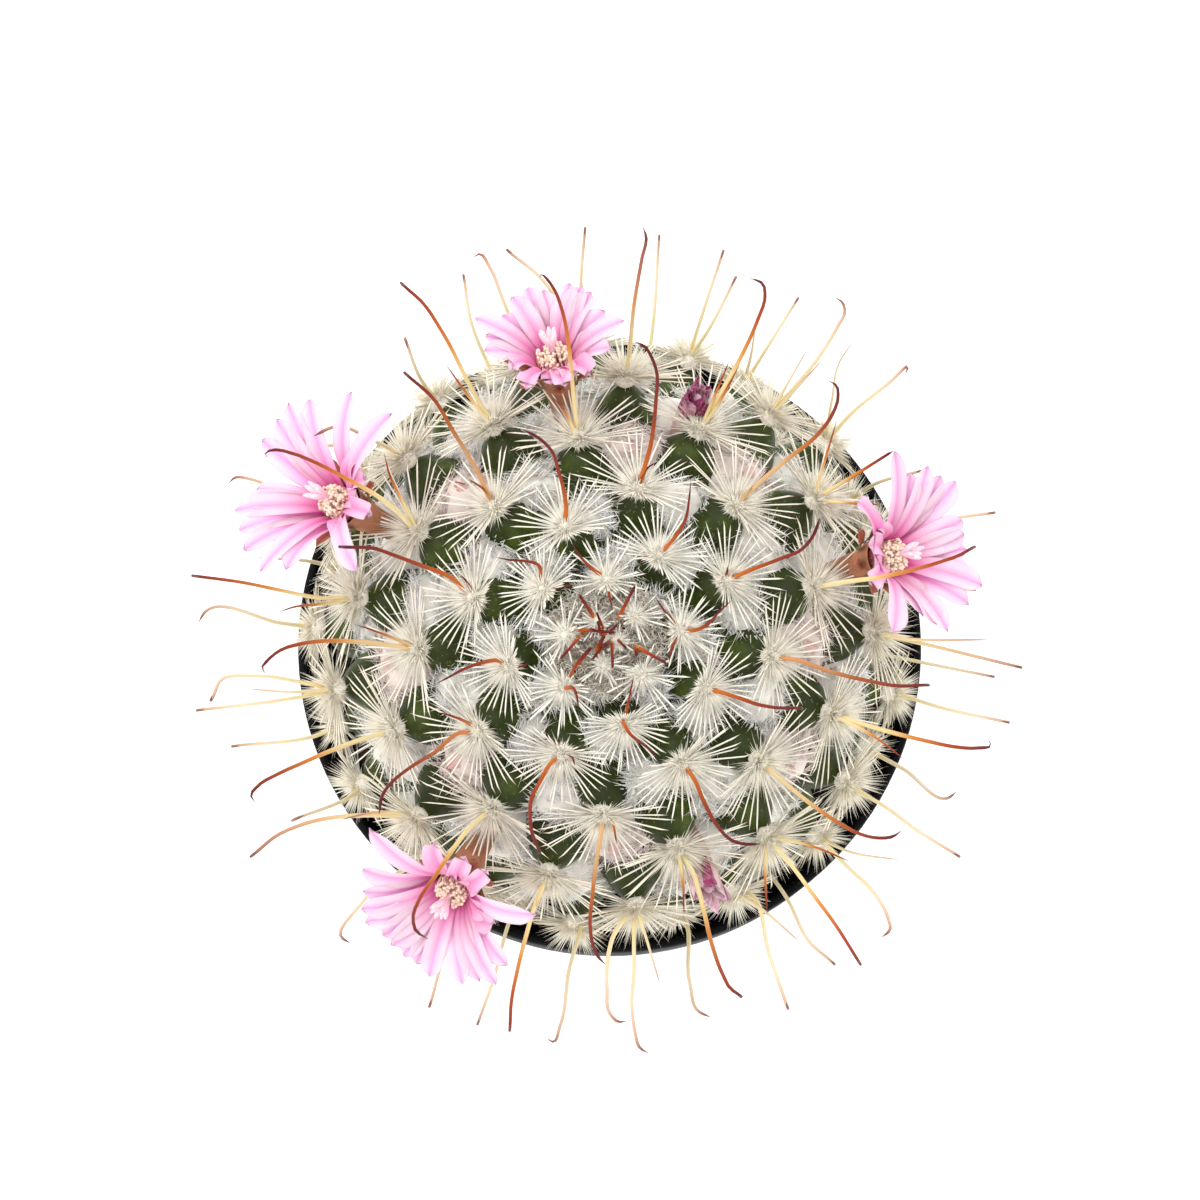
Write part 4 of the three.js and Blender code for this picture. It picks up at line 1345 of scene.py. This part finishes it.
def smooth_through(points, count, gather=1.0):
    """A smooth curve through all the points, as evenly spaced ones that gather towards its end."""
    steps = np.linalg.norm(np.diff(points, axis=0), axis=1)
    at = np.concatenate([[0], np.cumsum(steps)])
    slopes = np.gradient(points, at, axis=0)
    fine = np.linspace(0, at[-1], 240)
    piece = np.clip(np.searchsorted(at, fine, "right") - 1, 0, len(steps) - 1)
    span = steps[piece]
    t = ((fine - at[piece]) / span)[:, None]
    span = span[:, None]
    curve = (
        (2 * t**3 - 3 * t**2 + 1) * points[piece]
        + (t**3 - 2 * t**2 + t) * span * slopes[piece]
        + (3 * t**2 - 2 * t**3) * points[piece + 1]
        + (t**3 - t**2) * span * slopes[piece + 1]
    )
    walked = np.concatenate([[0], np.cumsum(np.linalg.norm(np.diff(curve, axis=0), axis=1))])
    wanted = walked[-1] * (1 - (1 - np.linspace(0, 1, count)) ** gather)
    return np.stack([np.interp(wanted, walked, curve[:, i]) for i in range(3)], -1)


def spine_line(base, pixels, length, lift, least):
    """A spine's bends in space: up steeply from its foot, then more and more level."""
    heights = np.full(len(pixels), base[2])
    for _ in range(3):
        spots = [base] + [seen_at(p, h) for p, h in zip(pixels, heights)]
        flat = np.array(spots)[:, :2]
        walked = np.cumsum(np.linalg.norm(np.diff(flat, axis=0), axis=1))
        chord = np.linalg.norm(flat[-1] - flat[0])
        rise = max(math.sqrt(max(length**2 - chord**2, (0.25 * length) ** 2)), least)
        heights = base[2] + rise * (1 - (1 - walked / walked[-1]) ** lift)
    return np.array(spots)


def over_the_rim(base, pixels, length, lift=1.7):
    """The same, for a spine that must rise far enough to clear the pot's rim."""
    for least in range(16):
        line = spine_line(base, pixels, length, lift + 0.12 * least, float(least))
        if clear_of_pot(smooth_through(line, 60)[None])[0]:
            break
    return line


def upturned_hook(line):
    """The last few points of a spine whose hook curls up."""
    ahead = unit(line[-1] - line[-2])
    over = unit(np.array([0, 0, 1]) - ahead * ahead[2])
    turns = np.radians([35, 75, 115, 150])[:, None]
    start = line[-1] - 0.5 * HOOK_RADIUS * ahead
    curl = start + HOOK_RADIUS * (np.sin(turns) * ahead + (1 - np.cos(turns)) * over)
    return np.concatenate([line[:-1], [start], curl])


def make_central_spines():
    rng = np.random.default_rng(23)
    walked = 1 - (1 - np.linspace(0, 1, SPINE_RINGS)) ** SPINE_GATHER
    spines = []

    def grow(line, thickness, age, hooked):
        path = smooth_through(line, SPINE_RINGS, SPINE_GATHER)
        across = np.linalg.svd(unit(np.gradient(path, axis=0)))[2][-1]
        taper = 1 - 0.34 * walked if hooked else 1 - 0.75 * walked**1.6
        point = np.clip((1 - walked) / (0.05 if hooked else 0.12), 0.12, 1) ** 0.7
        foot = 1 + 0.25 * np.exp(-walked * 30)
        spines.append((path, thickness * taper * point * foot, across, rng.uniform(), age))

    for number, length, pixels in LONG_SPINES + LOW_SPINES:
        a = areole(number)
        base = a.tip + 0.25 * a.facing + 0.06 * a.spacing * a.outward
        line = over_the_rim(base, pixels, length)
        if number in UPTURNED:
            line = upturned_hook(line)
        grow(line, 0.19 + 0.05 * min(number / 24, 1), number / 40, number > 13)
    for number, pixels in SHORT_SPINES:
        a = areole(number)
        base = a.tip + 0.25 * a.facing
        flat = np.linalg.norm(seen_at(pixels[-1], base[2])[:2] - base[:2])
        line = over_the_rim(base, pixels, max(1.25 * flat, 2.4), 1.3)
        grow(line, 0.16 + 0.03 * min(number / 24, 1), number / 40, False)
    for foot, tip, high, thickness in CROWN_SPINES:
        base = np.array([*foot, math.sqrt(STEM_RADIUS**2 - foot[0] ** 2 - foot[1] ** 2)])
        end = np.array([*tip, base[2] + high + 0.5])
        middle = (base + end) / 2 + [0, 0, 0.16 * high]
        grow(np.array([base, middle, end]), 1.4 * thickness, 0.0, True)

    paths, radii, across, tints, ages = map(np.array, zip(*spines))
    centres = leaning(paths)
    ways = unit(np.gradient(centres, axis=1))
    marks = {"along": np.tile(walked, (len(spines), 1)), "tint": tints, "age": ages}
    shape = rings(centres, ways, leaning_ways(across), radii, 6, marks)
    nodes = [f"central_spine_{n}" for n in FRAME_SPINES]
    add_piece("central_spines", shape, hooked_horn(), nodes)


# Flowers

MOUTH_UP = 22
MOUTH_TILT = math.radians(36)
FLOWER_SWING = math.radians(2.5)
AXIL_BELOW = math.radians(13)
TUBE_BASE_RADIUS = 0.85
TUBE_RINGS = 14
THROAT_RINGS = 6
SEPALS = 8
STAMENS = 150
STIGMA_LOBES = 7
PETAL_HALF_WIDTH = 1.14
PETAL_SPREAD = math.radians(60)
PETAL_LANES = 11

# A petal's width along its length: the share it has at its foot, where it is full, and how
# long its point is
PETAL_FOOT = 0.42
FULL_WIDTH_AT = 0.62
POINT_LENGTH = 0.17

# A flower's mouth: its middle, the way it faces, two ways across it and the way off the plant
Mouth = namedtuple("Mouth", "middle way front side outward")

# Each flower: its tubercle, how far out its mouth is, and where its petals' tips are seen from
# above, in mm right and back of the mouth, the open petals first. The crumpled ones that
# follow are short and curl over.
FLOWERS = {
    "flower_back": (
        28,
        26.0,
        [
            (1.4, 7.7), (-1.15, 7.1), (-4.0, 6.45), (-4.9, 4.7), (-7.4, 4.3), (-6.4, 2.6),
            (-6.5, 1.2), (5.2, 1.35), (6.45, 3.9), (4.7, 4.9), (3.4, 6.8), (-2.6, 7.3),
            (4.6, 2.9), (2.5, 7.4),
        ],
        [(-3.9, -0.6), (-2.6, -2.6), (-0.25, -2.05), (1.6, -1.6), (3.3, -1.2), (0.9, -2.3)],
    ),
    "flower_front_left": (
        29,
        27.1,
        [
            (-8.8, -2.25), (-8.5, -3.6), (-6.9, -4.9), (-5.0, -6.85), (-2.55, -8.8),
            (0.6, -9.4), (3.8, -9.2), (4.85, -7.3), (7.6, -2.05), (-8.5, 1.6), (-7.5, 5.7),
            (-8.6, -0.6), (2.2, -9.0), (-3.8, -7.6), (-6.0, -5.9),
        ],
        [(-1.6, 4.45), (1.2, 3.0), (3.1, 1.9), (3.1, -1.9), (2.2, 0.9), (-0.2, 2.6), (3.6, -3.4)],
    ),
    "flower_right": (
        30,
        27.0,
        [
            (0.6, 9.8), (2.25, 7.9), (3.9, 8.55), (6.7, 7.2), (7.4, 3.6), (7.8, 0.85),
            (9.2, -2.55), (7.8, -4.3), (5.6, -6.8), (3.3, -5.4), (0.15, -6.9), (8.1, -1.4),
            (7.6, 2.2), (5.2, 7.7), (4.6, -6.2),
        ],
        [(-1.2, -0.9), (-3.0, 5.0), (-0.95, 3.0), (-1.9, -2.3), (-1.8, 1.2)],
    ),
    "flower_left": (
        31,
        27.8,
        [
            (-7.6, 6.1), (-5.05, 9.5), (-2.95, 9.8), (1.2, 10.3), (5.2, 8.1), (-8.1, 1.35),
            (-10.05, -0.5), (-9.0, -4.25), (-7.3, -6.25), (-4.85, -6.05), (2.2, -6.3),
            (-9.0, 0.4), (-6.2, 8.0), (-9.6, -2.4),
        ],
        [(2.05, 4.4), (2.05, 0.15), (3.3, -1.1), (0.4, -2.75), (2.6, 2.2)],
    ),
}


def petal_reach(tip, way):
    """A petal's tip from the mouth, given where it is seen from above and the petals' spread."""
    x, y = tip
    flat_way = way[0] * x + way[1] * y
    c = math.cos(PETAL_SPREAD)
    a = way[2] ** 2 - c**2
    b = 2 * flat_way * way[2]
    d = flat_way**2 - c**2 * (x**2 + y**2)
    rise = (-b + math.sqrt(max(b * b - 4 * a * d, 0))) / (2 * a)
    return np.array([x, y, rise])


def blade(middle, normal, half_width, rng, cup, thickness=0.16, wave=0.1, teeth=0.0):
    """A petal: a thin closed blade along a middle line, channelled along its middle, with a
    slightly wavy edge and a toothed point."""
    rows = len(middle)
    lanes = np.linspace(-1, 1, PETAL_LANES)
    along = np.linspace(0, 1, rows)
    ways = unit(np.gradient(middle, axis=0))
    sides = unit(np.cross(ways, normal))
    normals = np.cross(sides, ways)
    swell = np.sin(np.pi / 2 * np.minimum(along / FULL_WIDTH_AT, 1)) ** 1.3
    point = np.clip((along - (1 - POINT_LENGTH)) / POINT_LENGTH, 0, 1)
    width = half_width * ((PETAL_FOOT + (1 - PETAL_FOOT) * swell) * (1 - 0.93 * point**2.1))
    flutter = wave * np.sin(along * rng.uniform(7, 11) + rng.uniform(0, 6)) * along
    channel = cup * width[:, None] * np.abs(lanes) ** 1.4 - 0.07 * np.exp(-((lanes / 0.13) ** 2))
    ruffle = flutter[:, None] * lanes * np.abs(lanes)
    surface = (
        middle[:, None]
        + sides[:, None] * (width[:, None] * lanes)[..., None]
        + normals[:, None] * (channel + ruffle)[..., None]
    )
    notches = teeth * (np.cos(lanes * 3 * math.pi) + rng.uniform(-0.5, 0.5, len(lanes)))
    surface[-1] += ways[-1] * notches[:, None]
    skin = thickness / 2 * (1 - 0.75 * lanes**2) * (1 - 0.6 * along[:, None] ** 3)
    top = surface + normals[:, None] * skin[..., None]
    bottom = surface - normals[:, None] * skin[..., None]
    count = rows * len(lanes)
    index = np.arange(count).reshape(rows, len(lanes))
    upper = np.stack([index[:-1, :-1], index[1:, :-1], index[1:, 1:], index[:-1, 1:]], -1)
    lower = upper[..., ::-1] + count
    edge = np.concatenate([index[0], index[1:, -1], index[-1, -2::-1], index[-2:0:-1, 0]])
    rim = np.stack([edge, np.roll(edge, -1), np.roll(edge, -1) + count, edge + count], -1)
    marks = {
        "along": np.tile(np.repeat(along, len(lanes)), 2),
        "across": np.tile(np.tile(lanes, rows), 2),
        "tint": np.full(2 * count, rng.uniform()),
    }
    points = np.concatenate([top.reshape(-1, 3), bottom.reshape(-1, 3)])
    return Shape(leaning(points), [upper.reshape(-1, 4), lower.reshape(-1, 4), rim], marks)


def round_stalk(path, radii, sides):
    """One closed round tube along a path, marked with the share of the way along."""
    across = np.linalg.svd(unit(np.gradient(path, axis=0)))[2][-1]
    centres = leaning(path)[None]
    ways = unit(np.gradient(centres, axis=1))
    marks = {"along": np.linspace(0, 1, len(path))}
    return rings(centres, ways, leaning_ways(across)[None], np.array([radii]), sides, marks)


def axil_of(number, swing):
    """A flower's or bud's angle round the stem, and its foot in the wool under its tubercle."""
    angle = spiral_angle(number) + swing
    polar = spiral_polar(number) + AXIL_BELOW
    return angle, direction(polar, angle) * body_radius(polar)


def flower_tube(start, mouth, rng):
    """The tube with its hollow throat, and the small sepals round it."""
    middle, way, front, side, _ = mouth
    bend = middle - way * np.linalg.norm(middle - start) / 2
    controls = [start, bend, middle + 0.3 * way]
    share = np.linspace(0, 1, TUBE_RINGS)
    outside = bezier(controls, share)
    throat = bezier(controls, np.linspace(0.97, 0.5, THROAT_RINGS))
    outer = TUBE_BASE_RADIUS * (1 + 0.35 * share) + 1.15 * share**3
    inner = np.linspace(2.2, 0.8, THROAT_RINGS)
    ways = unit(np.gradient(outside, axis=0))
    ways = np.concatenate([ways, ways[[13, 12, 11, 10, 9, 7]]])
    across = unit(np.cross(ways[0], ways[13]))
    tube = rings(
        leaning(np.concatenate([outside, throat]))[None],
        leaning_ways(ways)[None],
        leaning_ways(across)[None],
        np.concatenate([outer, inner])[None],
        24,
        {"along": np.concatenate([share, np.linspace(1, 0.8, THROAT_RINGS)])},
    )
    sepals = []
    for i in range(SEPALS):
        turn = 2 * math.pi * (i + rng.uniform(-0.2, 0.2)) / SEPALS
        ray = ray_at(turn, front, side)
        foot = middle + 2.1 * ray - 1.8 * way
        length = rng.uniform(3.0, 4.0)
        end = foot + unit(ray * 0.7 + way * 0.8) * length
        line = bezier([foot, foot + 0.4 * length * way + 0.1 * ray, end], np.linspace(0, 1, 9))
        sepals.append(blade(line, -ray, 0.6, rng, cup=0.25))
    return joined([tube, *sepals])


def petal_whorls(tips, crumpled, mouth, rng):
    """The outer and the inner whorl, with the crumpled petals in the inner one."""
    middle, way, _, _, _ = mouth
    whorls = {"outer": [], "inner": []}
    for i, tip in enumerate(tips + crumpled):
        short = i >= len(tips)
        reach = petal_reach(tip, way)
        length = np.linalg.norm(reach)
        ray = unit(reach - way * (reach @ way))
        whorl = "outer" if i % 2 and not short else "inner"
        ring, foot = (2.05, -0.5) if whorl == "outer" else (1.6, 0.1)
        root = middle + ring * ray + foot * way
        end = middle + reach
        rise = root + (0.75 * way + 0.3 * ray) * 0.33 * length
        spread = end - (0.9 * ray + 0.12 * way) * 0.38 * length
        if short:
            rise = root + way * rng.uniform(1.8, 2.6) + 0.5 * ray
            spread = end + way * rng.uniform(1.0, 1.8) - 0.3 * ray
        line = bezier([root, rise, spread, end], np.linspace(0, 1, 21))
        half = PETAL_HALF_WIDTH * rng.uniform(0.88, 1.06) * (0.86 if short else 1)
        cup = rng.uniform(0.3, 0.55) if short else rng.uniform(0.14, 0.34)
        wave = 0.42 if short else 0.14
        petal = blade(line, way - ray, half, rng, cup, thickness=0.14, wave=wave, teeth=0.09)
        if short:
            petal.marks["along"] = petal.marks["along"] * 0.55
        whorls[whorl].append(petal)
    return whorls


def stamen_brush(mouth, rng):
    """A low dense brush of filaments, each with an anther."""
    middle, way, front, side, _ = mouth
    turns = rng.uniform(0, 2 * math.pi, STAMENS)
    rays = np.cos(turns)[:, None] * front + np.sin(turns)[:, None] * side
    out = 1.5 * np.sqrt(rng.uniform(0.02, 1, STAMENS))[:, None]
    up = 2.3 - 0.5 * out + rng.uniform(-0.4, 0.4, (STAMENS, 1))
    roots = middle + 0.7 * out * rays - 1.5 * way
    tops = middle + out * rays + up * way
    bends = middle + 1.1 * out * rays + 0.3 * up * way
    paths = np.stack([roots, (roots + bends) / 2 + 0.05 * rays, bends, tops], 1)
    radii = np.tile([0.1, 0.09, 0.08, 0.07], (STAMENS, 1))
    marks = {"along": np.tile([0.0, 0.2, 0.4, 0.55], (STAMENS, 1))}
    across = leaning_ways(unit(np.cross(rays, way)))
    parts = [strands(leaning(paths), radii, across, 4, marks)]
    ball_points, ball_faces = ball(1)
    for top, ray in zip(tops, rays):
        bead = ball_points * [0.15, 0.15, 0.23] * rng.uniform(0.85, 1.15)
        turn_way = unit(way + rng.normal(0, 0.5, 3))
        one = unit(np.cross(turn_way, ray))
        two = np.cross(turn_way, one)
        bead = bead[:, :1] * one + bead[:, 1:2] * two + bead[:, 2:] * turn_way
        parts.append(Shape(leaning(top + bead), [ball_faces]).marked(along=1.0))
    return joined(parts)


def lobed_stigma(mouth, rng):
    """The style and its spreading lobes."""
    middle, way, front, side, outward = mouth
    fork = middle + 2.3 * way + 0.2 * outward
    stalk = bezier([middle - 2.0 * way, middle, fork], np.linspace(0, 1, 6))
    parts = [round_stalk(stalk, [0.26] * 6, 12).marked(along=0.3)]
    for i in range(STIGMA_LOBES):
        turn = 2 * math.pi * (i + rng.uniform(-0.15, 0.15)) / STIGMA_LOBES
        ray = ray_at(turn, front, side)
        end = fork + rng.uniform(1.3, 1.8) * way + rng.uniform(0.55, 1.0) * ray + 0.5 * outward
        lobe = bezier([fork - 0.1 * way, fork + 0.6 * way + 0.25 * ray, end], np.linspace(0, 1, 8))
        radii = [0.17, 0.2, 0.23, 0.26, 0.28, 0.28, 0.24, 0.1]
        parts.append(round_stalk(lobe, radii, 12).marked(along=1.0))
    return joined(parts)


def make_flower(name, finishes):
    number, mouth_out, tips, crumpled = FLOWERS[name]
    rng = np.random.default_rng(100 + number)
    angle, start = axil_of(number, FLOWER_SWING)
    outward = np.array([math.cos(angle), math.sin(angle), 0])
    way = math.sin(MOUTH_TILT) * outward + [0, 0, math.cos(MOUTH_TILT)]
    side = unit(np.cross(way, outward))
    middle = mouth_out * outward + [0, 0, MOUTH_UP]
    mouth = Mouth(middle, way, np.cross(side, way), side, outward)

    tube = flower_tube(start, mouth, rng)
    add_piece(f"{name}_tube_skin", tube, finishes["tube"], [f"{name}_tube"], True)
    for whorl, petals in petal_whorls(tips, crumpled, mouth, rng).items():
        shape, nodes = joined(petals), [f"{name}_{whorl}_petals"]
        add_piece(f"{name}_{whorl}_whorl", shape, finishes["petal"], nodes, True)
    brush = stamen_brush(mouth, rng)
    add_piece(f"{name}_stamen_brush", brush, finishes["anther"], [f"{name}_stamens"])
    stigma = lobed_stigma(mouth, rng)
    add_piece(f"{name}_stigma", stigma, finishes["stigma"], [f"{name}_style"])


# Buds and closed flowers

BUD_NUMBERS = range(20, 28)
BUD_SWING = math.radians(3.5)
BUD_BEYOND = math.radians(15)
BUD_TIP_RADIUS = 27
BUD_SCALES = 7
FADED_PETALS = 16


def bud_place(number):
    """A bud's foot on the stem, and its tip."""
    angle, start = axil_of(number, BUD_SWING)
    return start, direction(spiral_polar(number) + BUD_BEYOND, angle) * BUD_TIP_RADIUS


def ways_across(way):
    """Two ways at right angles to a bud's own, to turn its petals about."""
    side = unit(np.cross(way, [0.3, 0.5, 0.8]))
    return np.cross(side, way), side


def furled(start, end, thickness, rng):
    """A bud: pointed scales furled round a slim closed cone."""
    front, side = ways_across(unit(end - start))
    share = np.linspace(0, 1, 12)
    radii = thickness * np.sin(np.pi * np.clip(0.22 + 0.78 * share, 0, 1)) ** 0.75 + 0.06
    core = round_stalk(start + (end - start) * share[:, None], 0.8 * radii, 18)
    parts = [core.marked(across=0.5, tint=0.3)]
    for i in range(BUD_SCALES):
        ray = ray_at(i * math.radians(GOLDEN_ANGLE), front, side)
        foot_at = 0.2 + 0.4 * i / BUD_SCALES
        top_at = min(foot_at + rng.uniform(0.42, 0.55), 1.06)
        rows = np.linspace(foot_at, top_at, 9)
        out = np.interp(rows, share, radii) * 0.92 + 0.06
        middle = start + (end - start) * rows[:, None] + ray * out[:, None]
        scale = blade(middle, -ray, 0.55 * thickness, rng, cup=0.5, wave=0.05)
        scale.marks["along"] = foot_at + scale.marks["along"] * (top_at - foot_at)
        parts.append(scale)
    return joined(parts)


# A closed flower: its tubercle, where its tip is from the plant's axis and above its middle,
# how far its petals' points spread, and how dark they are
FADED = {
    "faded_flower_front": (32, 26.2, 21.3, 1.9, 0.15),
    "faded_flower_back": (33, 24.5, 22.0, 1.5, 0.9),
}


def make_faded_flower(name, finish):
    """A flower that has closed again: limp strips of petal round a short withered tube."""
    number, out, up, spread, dark = FADED[name]
    rng = np.random.default_rng(200 + number)
    angle, start = axil_of(number, BUD_SWING)
    tip = np.array([out * math.cos(angle), out * math.sin(angle), up])
    way = unit(tip - start)
    front, side = ways_across(way)
    neck = start + 0.55 * (tip - start)
    line = bezier([start, neck, tip - 0.8 * way], np.linspace(0, 1, 10))
    core = round_stalk(line, [1.0, 1.05, 1.15, 1.3, 1.4, 1.4, 1.25, 1.0, 0.7, 0.3], 18)
    parts = [core.marked(across=0.8, tint=0.1)]
    for i in range(FADED_PETALS):
        ray = ray_at(i * math.radians(GOLDEN_ANGLE), front, side)
        high = rng.uniform(-1.2, 0.9)
        foot = neck + 0.9 * ray
        belly = neck + 1.5 * ray + 1.1 * way
        end = tip + high * way + spread * rng.uniform(0.25, 1.0) * ray
        end = end + rng.normal(0, 0.35, 3)
        line = bezier([foot, belly, (belly + end) / 2 + 0.5 * way, end], np.linspace(0, 1, 13))
        strip = blade(line, -ray, rng.uniform(0.42, 0.72), rng, cup=0.6, wave=0.3, teeth=0.08)
        strip.marked(tint=np.clip(rng.normal(dark, 0.3), 0, 1))
        parts.append(strip)
    add_piece(f"closed_{name}", joined(parts), finish, [name], True)


def make_buds(finish):
    rng = np.random.default_rng(31)
    for i, number in enumerate(BUD_NUMBERS):
        start, tip = bud_place(number)
        shape = furled(start, tip + 0.3 * unit(tip - start), 0.95, rng)
        add_piece(f"young_bud_{i + 1}", shape, finish, [f"bud_{i + 1}"], True)


# Putting it together

set_up_studio()
set_up_camera()
make_pot()
make_soil()
make_stem()
make_bristles()
make_felt()
make_wool()
make_central_spines()
flower_finishes = {
    # Fleshy flower tube: smooth brownish pink over a green base, with a moist low gloss
    "tube": two_tone("fleshy_tube", "#5f5a26", "#a8684a", 0.5, 1.42, 0.8, 0.35),
    "petal": petal_tissue(),
    # Stamens: salmon pink filaments under powdery cream yellow pollen
    "anther": two_tone("pollen_brush", "#f5a094", "#ffecd2", 0.75, 1.45, 0.15, 0.3),
    # Stigma lobes: velvety, pale pink and nearly white
    "stigma": two_tone("velvet_stigma", "#ecb4c8", "#f6d6df", 0.7, 1.4, 0.2, 0.3),
}
for flower in FLOWERS:
    make_flower(flower, flower_finishes)
# Young buds: waxy pale scales with pink points
make_buds(two_tone("waxy_bud", "#e4d6c2", "#e3b3b0", 0.5, 1.42, 0.6, 0.62))
withered = withered_petal()
for faded in FADED:
    make_faded_flower(faded, withered)
